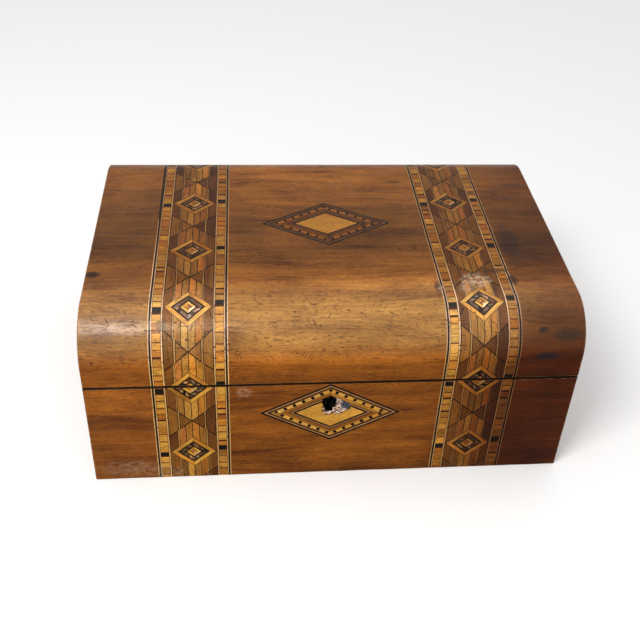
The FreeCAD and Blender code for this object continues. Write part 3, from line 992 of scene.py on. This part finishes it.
def chevron(centre_u, near_v, far_v, rise, half, draw):
    """Stripes between a lozenge's two upper sides (rise +1) or lower sides (rise -1) and the crossing."""
    drop = rise * half * SLOPE
    tiles = []
    for side in (-1, 1):
        edge = centre_u + side * half
        outline = [(centre_u, near_v), (edge, near_v - drop), (edge, far_v - drop), (centre_u, far_v)]
        if rise > 0:
            inner, outer = (OLIVE, ROSE) if side < 0 else (ORANGE, between(OLIVE, AMBER, 0.4))
        else:
            inner, outer = (between(OLIVE, YELLOW, 0.35), OLIVE) if side < 0 else (OLIVE, ORANGE)
        inner = between(inner, draw.choice((YELLOW, ORANGE, OLIVE)), draw.uniform(0, 0.35))
        outer = between(outer, draw.choice((YELLOW, ORANGE, TAN)), draw.uniform(0, 0.30))
        dark = between(BROWN, draw.choice((DARK, TAN)), draw.uniform(0.1, 0.7))
        tiles += striped(outline, centre_u, side, (
            (0.0, STRIPE_INNER, inner, 0.26),
            (STRIPE_INNER, STRIPE_OUTER, outer, 0.26),
            (STRIPE_OUTER, STRIPE_LINE, between(YELLOW, PINK, 0.5), 0.06),
            (STRIPE_LINE, half, dark, 0.26)))
    return tiles


def side_triangle(centre_u, middle_v, side, tip, half):
    """From a point at tip from the centre out to the edge of the strip."""
    edge, rise = centre_u + side * half, (half - tip) * SLOPE
    return [(centre_u + side * tip, middle_v), (edge, middle_v - rise), (edge, middle_v + rise)]


def crossing(centre_u, middle_v, half, draw):
    """The two side triangles between the crossed lines, the left one usually the lighter."""
    inner, outer = STRIPE_OUTER - CROSSING_IN, STRIPE_LINE - CROSSING_IN
    bases = [between(TAN, OLIVE, draw.uniform(0.0, 0.5)), between(DARK, BROWN, draw.uniform(0.0, 0.5))]
    if draw.random() < 0.3:
        bases[1] = bases[0]
    tiles = []
    for side, base in zip((-1, 1), bases):
        outline = side_triangle(centre_u, middle_v, side, 0.0, half)
        tiles += striped(outline, centre_u, side, (
            (0.0, inner, between(base, BROWN, 0.45), 0.48),
            (inner, outer, between(YELLOW, PINK, 0.4), 0.06),
            (outer, half, base, 0.48)))
    return tiles


def side_gaps(centre_u, centre_v, half):
    """The slivers between a lozenge's tips and the edges of its strip are part of the chevrons."""
    return [Tile(side_triangle(centre_u, centre_v, side, LOZENGE_WIDE, half), DARK, 90, 0.0)
            for side in (-1, 1)]


def lozenge_strip(u0, u1, v0, v1, seed):
    centre, half = (u0 + u1) / 2, (u1 - u0) / 2
    tiles = []
    for number in PERIODS:
        v = FIRST_LOZENGE + number * PERIOD
        draw = random.Random(f"{seed} lozenge {number}")
        tiles += lozenge((centre, v), draw, number == SEAM_LOZENGE)
        tiles += side_gaps(centre, v, half)
        middle = v + PERIOD / 2
        tiles += chevron(centre, v + LOZENGE_HIGH, middle, 1, half, draw)
        tiles += chevron(centre, v + PERIOD - LOZENGE_HIGH, middle, -1, half, draw)
        tiles += crossing(centre, middle, half, draw)
    return crop(tiles, u0, u1, v0, v1)


def block_strip(u0, u1, v0, v1, dark_at, missing, seed):
    """Short blocks end to end, with one black block in each period but the missing one."""
    draw = random.Random(f"{seed} blocks")
    tiles = []
    for number in PERIODS:
        start = dark_at + number * PERIOD
        at = start + BLACK_BLOCK / 2
        colour = OLIVE if number == missing else BLACK
        tiles.append(Tile(rect(u0, u1, at - BLACK_BLOCK, at), colour, 0, 0.08))
        widths = [draw.uniform(0.75, 1.25) for _ in range(9)]
        for width in widths:
            end = at + (PERIOD - BLACK_BLOCK) * width / sum(widths)
            colour = between(draw.choice((YELLOW, YELLOW, AMBER, ORANGE, OLIVE)),
                             draw.choice((AMBER, ORANGE, TAN)), draw.uniform(0, 0.45))
            line = draw.choice((0.45, 0.5, 0.55, 0.0, 1.1))
            line_colour = shade(RED, 0.5) if line > 1 else between(RED, ROSE, draw.uniform(0.0, 0.8))
            tiles.append(Tile(rect(u0, u1, at, end - line), colour, 0, 0.16))
            if line:
                tiles.append(Tile(rect(u0, u1, end - line, end), line_colour, 0, 0.03))
            at = end
    return crop(tiles, u0, u1, v0, v1)


def line_strip(u0, u1, v0, v1, colour, joint, seed, dirty_from):
    """One long thin line, in a few lengths, black with dirt from a height on."""
    draw = random.Random(f"{seed} line {u0:.1f}")
    tiles = []
    at = v0
    while at < v1:
        step = min(v1 - at, draw.uniform(35, 90))
        if v1 - at - step < 5:
            step = v1 - at
        tint = between(colour, BLACK, 0.9) if at > dirty_from else colour
        tiles.append(Tile(rect(u0, u1, at, at + step), shade(tint, draw.uniform(0.85, 1.1)), 90, joint))
        at += step
    return tiles


# ---- the diamonds ----

DOT_SPACING = 0.154                 # from one dot to the next, as a share of a side
FIRST_DOTS = (0.16, 0.10, 0.11, 0.012)
APEX_DOT = 0.988                    # the dot that the upper corner's two sides share


def dotted_ring(diamond, outer, inner, square, aged, draw):
    """Light blocks, browned where they are aged, with a small black square between each pair."""
    tiles = []
    for number in range(4):
        outline = diamond.side(outer, inner, number)
        a, b = outline[:2]
        length = math.dist(a, b)
        along = ((b[0] - a[0]) / length, (b[1] - a[1]) / length)
        start = a[0] * along[0] + a[1] * along[1]
        dots = []
        while not dots or dots[-1] + DOT_SPACING < 0.98:
            dots.append(dots[-1] + DOT_SPACING if dots else FIRST_DOTS[number])
        if number == 2:
            dots.append(APEX_DOT)
        stops = [dot * length + side * square / 2 for dot in dots for side in (-1, 1)]
        for i, (low, high) in enumerate(zip([-length] + stops, stops + [2 * length])):
            part = keep_side(outline, along, start + high)
            part = keep_side(part, (-along[0], -along[1]), -start - low) if len(part) > 2 else []
            if len(part) < 3:
                continue
            light = between(YELLOW, draw.choice((AMBER, ORANGE, CREAM)), draw.uniform(0, 0.6))
            light = between(light, shade(ROSE, 0.8), 0.85 * aged)
            angle = math.degrees(math.atan2(along[1], along[0]))
            tiles.append(Tile(part, BLACK if i % 2 else light, angle, 0.05))
    return tiles


def inlaid_diamond(node_name, axis, shift=0.0, tilt=0.0):
    """The diamond that fills a node's box; axis is the one that v follows there."""
    low, high = box_mm(node_name)
    middle = [(a + b) / 2 for a, b in zip(low, high)]
    half = [(b - a) / 2 for a, b in zip(low, high)]
    return Diamond((middle[0], middle[axis] + shift), (half[0], half[axis]), tilt)


FRONT_DIAMOND = inlaid_diamond("front_diamond_lines", 2, tilt=-0.024)
LID_DIAMOND = inlaid_diamond("lid_diamond_lines", 1, shift=MIDDLE)


def frame_tiles(diamond, aged):
    """The narrow lines outside and inside the dotted border."""
    pink = shade(PINK, 1 - 0.35 * aged)
    outside = diamond.rings((1.0, 0.936, 0.903, 0.85), ((BLACK,), (pink,), (shade(RED, 0.25),)))
    inside = diamond.rings((0.60, 0.575, 0.544, 0.490, 0.48), (
        (shade(RED, 0.45),), (shade(pink, 0.8),), (shade(RED, 0.1), BLACK), (shade(AMBER, 0.6),)))
    return outside, inside


def border_tiles(diamond, square, aged, draw):
    light = between(between(YELLOW, AMBER, 0.4), TAN, 0.8 * aged)
    warm = between(AMBER, TAN, 0.8 * aged)
    red = between(ORANGE, TAN, 0.5 * aged)
    return (diamond.ring(0.85, 0.828, (light, warm), 0.03)
            + dotted_ring(diamond, 0.828, 0.718, square, aged, draw)
            + diamond.ring(0.718, 0.695, (light, warm), 0.03)
            + diamond.ring(0.695, 0.60, (red, shade(red, 0.85), warm, shade(red, 0.9)), 0.06))


# ---- laying everything ----

PARTS = (("base", 0, RIM), ("lid", LID_FOOT, LID_END))      # what a band crosses, with its limits in v


def lay(node_name, tiles, look, slot, seed, patina, place=None, levels_u=(), levels_v=None, edges=None,
        **options):
    """Puts a sheet in the place of one CAD skin, on the front or over the lid unless place says otherwise."""
    body = "lid" if node_name.startswith("lid") else "base"
    if body == "lid" and place is None:
        tiles = notched(tiles, LID_END - LID_NOTCH)
    if levels_v is None:
        levels_v = lid_levels() if body == "lid" else ()
    if edges is None:
        edges = lid_edges() if body == "lid" else base_edges()
    place = place or {"lid": lid_place, "base": front_place}[body]
    piece = lay_sheet(node_name + "_wood", tiles, place, look, seed, levels_u, levels_v, edges, patina,
                      **options)
    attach(piece, body)
    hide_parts(node_name)


def lay_leaf(node_name, tiles, seed, patina, **options):
    """A sheet whose tiles are parts of a single leaf of walnut, so no joint shows between them."""
    for tile in tiles:
        tile.source = tiles[0]
    lay(node_name, tiles, WALNUT_LOOK, "walnut_veneer", seed, patina, spread=0.0, **options)


# How bright the inlaid woods are, as (v, level): partly their polish, which the wear on the shoulder changes
# less, partly painted light and shade.
INLAY_LIT_AND_WORN_LEVELS = ((0, 0.86), (74, 0.86), (84, 1.08), (122, 1.16), (150, 0.56), (330, 0.55))


# Painted light and shade on the inlays: the levels above, painted shade at the right-hand end, and a golden
# shoulder, partly wear and partly painted highlight.
def inlay_tone(u, v):
    shadow = end_shadow(u, v)
    level = through(INLAY_LIT_AND_WORN_LEVELS, v) * shadow
    golden = hump(88, 104, 126, 145, v)
    top = smooth_step(126, 145, v)
    green = (1 + 0.10 * golden - 0.14 * top) * shadow ** 0.35
    return (level, level * green, level * (0.8 + 0.7 * golden - 0.1 * top) * shadow ** 0.5)


def lay_bands():
    """The two bands of parquetry and all the lines beside them."""
    for name in ("left", "right"):
        seed = f"{name} band"
        u0, u1 = spans(f"base_{name}_lozenge_strip")[0]
        for part, low, high in PARTS:
            lay(f"{part}_{name}_lozenge_strip", lozenge_strip(u0, u1, low, high, seed),
                PARQUETRY_LOOK, "parquetry", seed, inlay_tone)
        for part, low, high in PARTS:
            tiles = []
            for (a, b), (dark_at, missing) in zip(spans(f"base_{name}_block_strips"), BLACK_BLOCKS):
                tiles += block_strip(a, b, low, high, dark_at, missing, f"{seed} {a}")
            lay(f"{part}_{name}_block_strips", tiles, BLOCK_LOOK, "block_banding", seed, inlay_tone)
    pale = shade(between(CREAM, PINK, 0.5), 1.12)
    for kind, colour, joint, slot in (("light", pale, 0.10, "box_stringing"),
                                      ("dark", BLACK, 0.0, "ebony_stringing")):
        for part, low, high in PARTS:
            tiles = []
            for a, b in spans(f"base_{kind}_lines"):
                dirty_from = DIRTY_FROM if kind == "light" and a < OUTERMOST else FAR
                tiles += line_strip(a, b, low, high, colour, joint, kind, dirty_from)
            lay(f"{part}_{kind}_lines", tiles, LINE_LOOK, slot, kind, inlay_tone)


def lay_fields():
    lines = spans("base_light_lines")
    band_low, band_high = lines[0][0], lines[5][1]
    for name, low, high in (("left", -HALF_W, band_low), ("centre", band_high, -band_high),
                            ("right", -band_low, HALF_W)):
        ends = {"left": [side_edge(-1)], "right": [side_edge(1)]}.get(name, [])
        front_diamond, lid_diamond = (FRONT_DIAMOND, LID_DIAMOND) if name == "centre" else (None, None)
        across = grid_levels(low, high, 6)
        lay_leaf(f"base_front_veneer_{name}", field_tiles(low, high, 0, RIM, front_diamond),
                 f"front {name}", veneer_tone, levels_u=across, levels_v=grid_levels(0, RIM, 6),
                 edges=base_edges() + ends)
        lay_leaf(f"lid_veneer_{name}", field_tiles(low, high, LID_FOOT, LID_END, lid_diamond),
                 f"lid {name}", veneer_tone, levels_u=across,
                 levels_v=lid_levels() + grid_levels(TOP_START, TOP_END, 6), edges=lid_edges() + ends)


def lid_end_outline(half):
    """The lid seen from its end, inside the skin of its front, top and back."""
    outline = [(-half, LID_FOOT), (half, LID_FOOT)]
    for start, middle in ((0, FLAT), (math.pi / 2, -FLAT)):
        for i in range(ARC_STEPS + 1):
            angle = start + math.pi / 2 * i / ARC_STEPS
            outline.append((middle + (ROUND - SKIN) * math.cos(angle),
                            SPRING + (ROUND - SKIN) * math.sin(angle)))
    return outline


def lay_sides():
    half = HALF_D - SKIN
    across, upright = grid_levels(-half, half, 8), grid_levels(0, RIM, 8)
    for name, place in (("left", left_place), ("right", right_place)):
        lay_leaf(f"base_{name}_veneer", field_tiles(-half, half, 0, RIM), f"end {name}", plain_tone,
                 place=place, levels_u=across, levels_v=upright)
        lay_leaf(f"lid_{name}_end_veneer", [Tile(lid_end_outline(half), WALNUT, 0.0, 0.0)],
                 f"lid end {name}", plain_tone, place=place, levels_u=across,
                 levels_v=grid_levels(LID_FOOT, HEIGHT, 8), edges=[Edge(1, LID_FOOT, -1, 0.6, True)])
    back = notched(field_tiles(-HALF_W, HALF_W, 0, RIM), RIM - BASE_NOTCH, -1)
    lay_leaf("base_back_veneer", back, "back", plain_tone, place=back_place, levels_v=upright,
             levels_u=grid_levels(-HALF_W, HALF_W, 8), edges=base_edges() + [side_edge(-1), side_edge(1)])


def lay_diamonds():
    for where, diamond, square, aged in (("front", FRONT_DIAMOND, 1.9, 0.0), ("lid", LID_DIAMOND, 1.5, 1.0)):
        draw = random.Random(f"{where} diamond")
        outside, inside = frame_tiles(diamond, aged)
        field = [Tile(diamond.corners(0.48), between(YELLOW, AMBER, 0.25), 8, 0.0)]
        if where == "front":
            inside, field = without_hole(inside, BREAK), without_hole(field, BREAK)
        for part, tiles, slot in (
                ("lines", outside + inside, "diamond_stringing"),
                ("border", border_tiles(diamond, square, aged, draw), "dotted_border"),
                ("field", field, "satinwood")):
            lay(f"{where}_diamond_{part}", tiles, DIAMOND_LOOK, slot, where, inlay_tone)


# ---- the broken keyhole ----

EYE_AT = (LOCK_X, RIM - 14.0)       # centre of the keyhole's round eye
EYE = 3.6
SLOT = 2.2                          # half the width of the slot under it
SLOT_END = RIM - 22.5
HEART = (LOCK_X + 0.8, RIM - 16.5)  # a point inside the keyhole that the break is measured from
RAYS = 72
# Ovals, as (u, v, half width, half height), of the veneer lost round the keyhole.
WORN_HOLE = (-3.5, 59.0, 4.4, 5.6)
CHIP = (2.0, 56.0, 6.2, 6.4)
LOWER_CHIP = (-3.8, 54.0, 4.4, 4.4)


def in_oval(oval, u, v):
    return ((u - oval[0]) / oval[2]) ** 2 + ((v - oval[1]) / oval[3]) ** 2 < 1


def in_keyhole(u, v):
    in_eye = math.dist((u, v), EYE_AT) < EYE
    return in_eye or (abs(u - LOCK_X) < SLOT and SLOT_END < v < EYE_AT[1])


def in_break(u, v):
    return any(in_oval(oval, u, v) for oval in (WORN_HOLE, CHIP, LOWER_CHIP))


def from_heart(angle, distance):
    return (HEART[0] + math.cos(angle) * distance, HEART[1] + math.sin(angle) * distance)


def reach(inside, angle):
    """Distance from the heart of the keyhole to the edge of a shape in one direction."""
    distance = 0.0
    while inside(*from_heart(angle, distance)):
        distance += 0.05
    return distance


def ragged_reach(angle):
    way = Vector((math.cos(angle), math.sin(angle), 0))
    rough = 1.1 * noise.noise(way * 2.6) + 1.7 * noise.noise(way * 9.0 + Vector((0, 0, 4)))
    return reach(in_break, angle) + rough


def ray_angles():
    return [2 * math.pi * i / RAYS for i in range(RAYS)]


BREAK = [from_heart(angle, ragged_reach(angle)) for angle in ray_angles()]


def beyond(outline, p, q):
    """The part of an outline beyond the line p-q, within the wedge from the heart through both."""
    for a, b in ((HEART, p), (q, HEART), (q, p)):
        normal = (b[1] - a[1], a[0] - b[0])
        outline = keep_side(outline, normal, a[0] * normal[0] + a[1] * normal[1])
        if len(outline) < 3:
            return []
    return outline if abs(area(outline)) > 1e-4 else []


def without_hole(tiles, hole):
    """Tiles with a ragged hole round the heart of the keyhole cut out of them."""
    limits = [f(c[axis] for c in hole) for axis in (0, 1) for f in (min, max)]
    kept = []
    for tile in tiles:
        if not inside_box(tile.outline, *limits):
            kept.append(tile)
            continue
        tile.joint = 0.0
        for p, q in zip(hole, hole[1:] + hole[:1]):
            part = beyond(tile.outline, p, q)
            if part:
                kept.append(tile.cut(part))
    return kept


def break_colour(u, v):
    """Painted shade, near black, in the hole, then filler and bare wood, with a grey plate showing on the
    right.
    """
    patch = noise.noise(Vector((u * 0.55, v * 0.55, 5.0)))
    speck = noise.noise(Vector((u * 1.3, v * 1.3, 9.0)))
    # The hole is painted near black, as its shade.
    if in_oval(WORN_HOLE, u + 0.8 * patch, v - 0.8 * speck):
        return (0.0015, 0.001, 0.001), 0.0
    metal = smooth_step(2.6, 4.0, u + 2.0 * patch + speck) * smooth_step(52.5, 53.8, v + 2.0 * speck)
    bare = between((0.62, 0.46, 0.36), (0.09, 0.03, 0.012), smooth_step(-0.15, 0.22, 0.6 * patch + speck))
    plate = shade((0.060, 0.064, 0.082), 1 + 1.3 * speck)
    return between(bare, plate, metal), metal


def break_depth(u, v, share):
    """How far the broken surface lies under the veneer's face."""
    rough = noise.noise(Vector((u * 0.9, v * 0.9, 2.0)))
    depth = 0.80 - 0.35 * share + 0.45 * rough
    if in_oval(WORN_HOLE, u, v):
        depth = 0.93
    return min(0.93, max(0.22, depth))


RINGS = 14                          # of faces from the keyhole to the edge of the break
BREAK_FOOT = 0.97                   # depth of the underside of the broken surface


def lay_break():
    """The rough surface round the keyhole, as rings of faces closed by an underside."""
    points, faces, colours, plate = [], [], [], []
    for angle in ray_angles():
        inner = reach(in_keyhole, angle)
        outer = max(ragged_reach(angle) + 0.1, inner + 0.1)
        for step in range(RINGS + 1):
            share = step / RINGS
            u, v = from_heart(angle, inner + (outer - inner) * share)
            colour, metal = break_colour(u, v)
            for depth in (break_depth(u, v, share), BREAK_FOOT):
                points.append(front_place(u, v, depth)[0] * MM)
                colours.append((*colour, 1.0))
                plate.append(metal)
    row = 2 * (RINGS + 1)
    for ray in range(RAYS):
        a, b = ray * row, (ray + 1) % RAYS * row
        for k in range(0, 2 * RINGS, 2):
            faces.append((a + k, a + k + 2, b + k + 2, b + k))
            faces.append((a + k + 1, b + k + 1, b + k + 3, a + k + 3))
        faces.append((a, b, b + 1, a + 1))
        faces.append((a + row - 2, a + row - 1, b + row - 1, b + row - 2))
    mesh = bpy.data.meshes.new("keyhole_break")
    mesh.from_pydata(points, [], faces)
    add_attribute(mesh, "tone", "FLOAT_COLOR", "POINT", colours)
    add_attribute(mesh, "metal", "FLOAT", "POINT", plate)
    mesh.materials.append(break_material())
    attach(put_in_scene("keyhole_break", mesh), "base")


def break_material():
    material, shader = new_material("broken_keyhole")
    place = millimetres(shader)
    speckle = ramp(cloud(place, (1.4, 1.4, 1.4), 4.0, 0.7), 0.35, 0.65, 0.45, 1.5)
    tone = attribute(shader, "tone", "Color")
    lit = node("ShaderNodeVectorMath", {"operation": "SCALE"}, i0=tone, Scale=speckle).outputs[0]
    feed(shader, "Base Color", lit)
    feed(shader, "Metallic", times(attribute(shader, "metal", "Fac"), 0.6))
    feed(shader, "Roughness", ramp(speckle, 0.4, 1.5, 0.75, 0.45))
    shader.inputs["Specular IOR Level"].default_value = 0.02
    relief(shader, cloud(place, (1.1, 1.1, 1.1), 5.0, 0.7), 0.5)
    return material


# ---- wood, metal and paper of the CAD nodes ----

def millimetres(shader):
    """Coordinates on the object itself, in millimetres."""
    place = shader.id_data.nodes.new("ShaderNodeTexCoord").outputs["Object"]
    return vector_times(place, (1 / MM, 1 / MM, 1 / MM))


def relief(shader, height, depth):
    """Bump of a depth in millimetres."""
    bump = node("ShaderNodeBump", None, Strength=1.0, Distance=depth * MM, Height=height)
    feed(shader, "Normal", bump.outputs[0])


KEYHOLE_SHADE = (LOCK_X, -HALF_D, SLOT_END + 6)     # middle of the painted shade, near black, in and round the keyhole


def clear_of_keyhole(place):
    """0 in the painted shade of the keyhole, 1 away from it."""
    away = vector_times(vector_maths("SUBTRACT", place, KEYHOLE_SHADE), (1, 0.7, 1))
    return ramp(length_of(away), 7.0, 9.0)


def pine_material(name, turn_grain):
    """Old softwood: growth lines along the board, darkened and spotted."""
    material, shader = new_material(name)
    place = unturned = millimetres(shader)
    if turn_grain:
        place = turned(place, 90)
    wander = cloud(place, (0.010, 0.03, 0.03), 2.0)
    bent = node("ShaderNodeCombineXYZ", None, Y=times(wander, 22.0)).outputs[0]
    place = vector_maths("ADD", place, bent)
    growth = cloud(place, (0.006, 0.42, 0.42), 2.0, 0.4)
    late = ramp(growth, 0.42, 0.62)
    fibre = cloud(place, (0.09, 2.4, 2.4), 3.0, 0.6)
    spotted = ramp(cloud(place, (0.05, 0.07, 0.07), 5.0, 0.65), 0.40, 0.68)
    colour = mix(late, (0.36, 0.20, 0.085), (0.19, 0.083, 0.028))
    colour = coats(colour, (fibre, 0.35, (0.10, 0.045, 0.018)), (spotted, 0.55, (0.075, 0.035, 0.016)))
    # Painted shade: the keyhole's bore is near black and has no reflection.
    outside_keyhole_shade = clear_of_keyhole(unturned)
    colour = mix(outside_keyhole_shade, (0.002, 0.0015, 0.001), colour)
    feed(shader, "Base Color", colour)
    feed(shader, "Roughness", ramp(fibre, 0.3, 0.7, 0.62, 0.85))
    feed(shader, "Specular IOR Level", times(outside_keyhole_shade, 0.2))
    relief(shader, maths("ADD", growth, times(fibre, 0.4)), 0.25)
    return material


def metal_material(name, bright, dull, crust, share):
    """Old metal: handled places, tarnish, and a crust that hides the metal."""
    material, shader = new_material(name)
    place = millimetres(shader)
    tarnish = ramp(cloud(place, (0.16, 0.16, 0.16), 5.0, 0.65), 0.36, 0.62)
    crust_and_seam_shade = ramp(cloud(place, (0.42, 0.42, 0.42), 5.0, 0.7), 0.62 - share, 0.74 - share)
    fine = cloud(place, (3.0, 0.35, 0.35), 2.0, 0.6)
    colour = mix(tarnish, bright, dull)
    colour = mix(times(fine, 0.25), colour, dull)
    colour = mix(crust_and_seam_shade, colour, crust)
    # Painted shade: the lock behind the keyhole is near black.
    colour = mix(clear_of_keyhole(place), (0.006, 0.005, 0.005), colour)
    feed(shader, "Base Color", colour)
    feed(shader, "Metallic", linear(crust_and_seam_shade, -0.8, 1.0))
    rough = linear(tarnish, 0.20, 0.30)
    feed(shader, "Roughness", linear(crust_and_seam_shade, 0.3, rough, clamp=True))
    relief(shader, maths("ADD", fine, crust_and_seam_shade), 0.05)
    return material


def paper_material():
    """Faded plum paper, rubbed and browned."""
    material, shader = new_material("lining_paper")
    place = millimetres(shader)
    fibre = cloud(place, (1.3, 1.3, 1.3), 5.0, 0.7)
    fading = ramp(cloud(place, (0.012, 0.016, 0.02), 4.0, 0.6), 0.34, 0.66)
    foxing = ramp(cloud(place, (0.09, 0.09, 0.09), 5.0, 0.7), 0.60, 0.72)
    rubbed = ramp(cloud(place, (0.25, 0.25, 0.25), 6.0, 0.75), 0.58, 0.70)
    colour = mix(fading, (0.115, 0.040, 0.052), (0.235, 0.125, 0.115))
    colour = coats(colour, (fibre, 0.5, (0.10, 0.045, 0.05)), (foxing, 0.6, (0.13, 0.065, 0.03)),
                   (rubbed, 0.35, (0.36, 0.26, 0.20)))
    feed(shader, "Base Color", colour)
    feed(shader, "Roughness", ramp(fibre, 0.3, 0.7, 0.80, 0.95))
    shader.inputs["Specular IOR Level"].default_value = 0.2
    relief(shader, fibre, 0.12)
    return material


def paint_nodes():
    """Gives each shown CAD node the material of its slot in the record."""
    across = pine_material("pine_across", True)
    looks = {
        "pine": pine_material("pine", False),
        "brass": metal_material("brass", (0.42, 0.26, 0.085), (0.20, 0.115, 0.040),
                                (0.055, 0.032, 0.016), 0.05),
        "lock_steel": metal_material("lock_steel", (0.12, 0.115, 0.11), (0.050, 0.045, 0.041),
                                     (0.045, 0.020, 0.009), 0.12),
        "lining_paper": paper_material(),
    }
    ends = ("base_left_board", "base_right_board", "lid_left_end", "lid_right_end")
    for row in frame["record"]["subparts"]:
        if row["material_slot"] in looks:
            materials = frame["nodes"][row["node"]].data.materials
            materials.clear()
            materials.append(across if row["node"] in ends else looks[row["material_slot"]])


lay_bands()
lay_fields()
lay_sides()
lay_diamonds()
lay_break()
paint_nodes()


# ---- camera, lights, floor ----

def make_camera():
    """Above and a little to the left of the front, as someone standing over the box sees it."""
    yaw, pitch, roll = (math.radians(a) for a in (7.298, 36.338, 3.642))
    forward = Vector((math.sin(yaw) * math.cos(pitch), math.cos(yaw) * math.cos(pitch), -math.sin(pitch)))
    level = Vector((math.cos(yaw), -math.sin(yaw), 0))
    above = level.cross(forward)
    right = level * math.cos(roll) + above * math.sin(roll)
    up = above * math.cos(roll) - level * math.sin(roll)
    data = bpy.data.cameras.new("camera")
    data.sensor_width = 36.0
    data.lens = 51.84
    data.shift_x = -0.0305
    data.shift_y = -0.0858
    data.clip_start, data.clip_end = 0.01, 20
    camera = put_in_scene("camera", data)
    turn = Matrix((right, up, -forward)).transposed().to_4x4()
    camera.matrix_world = Matrix.Translation((-0.0507, -0.4695, 0.4344)) @ turn
    bpy.context.scene.camera = camera


def area_light(name, place, target, size, power, colour=(1, 1, 1)):
    data = bpy.data.lights.new(name, "AREA")
    data.shape = "RECTANGLE"
    data.size, data.size_y = size
    data.energy = power
    data.color = colour
    light = put_in_scene(name, data)
    light.location = place
    light.rotation_euler = (Vector(target) - Vector(place)).to_track_quat("-Z", "Y").to_euler()


FLOOR_HALF = 3.0                    # half the width of the floor, in metres


def make_stage():
    """A pale floor under a white sky, with a lamp over the left shoulder and a broad one above."""
    mesh = bpy.data.meshes.new("floor")
    corners = rect(-FLOOR_HALF, FLOOR_HALF, -FLOOR_HALF, FLOOR_HALF)
    mesh.from_pydata([(x, y, 0) for x, y in corners], [], [(0, 1, 2, 3)])
    floor = put_in_scene("floor", mesh)
    material, shader = new_material("pale_floor")
    shader.inputs["Base Color"].default_value = (0.86, 0.86, 0.86, 1)
    shader.inputs["Roughness"].default_value = 0.9
    shader.inputs["Specular IOR Level"].default_value = 0.1
    mesh.materials.append(material)
    world = bpy.data.worlds.new("studio")
    world.use_nodes = True
    world.node_tree.nodes["Background"].inputs["Color"].default_value = (1, 1, 1, 1)
    world.node_tree.nodes["Background"].inputs["Strength"].default_value = 0.80
    bpy.context.scene.world = world
    area_light("key", (-0.30, -0.42, 0.72), (-0.05, -0.06, 0.06), (0.30, 0.26), 4.6, (1, 0.98, 0.95))
    area_light("overhead", (0.0, 0.1, 1.7), (0, 0, 0), (1.8, 1.8), 3.5)


make_camera()
make_stage()
bpy.context.scene.view_settings.view_transform = "Standard"
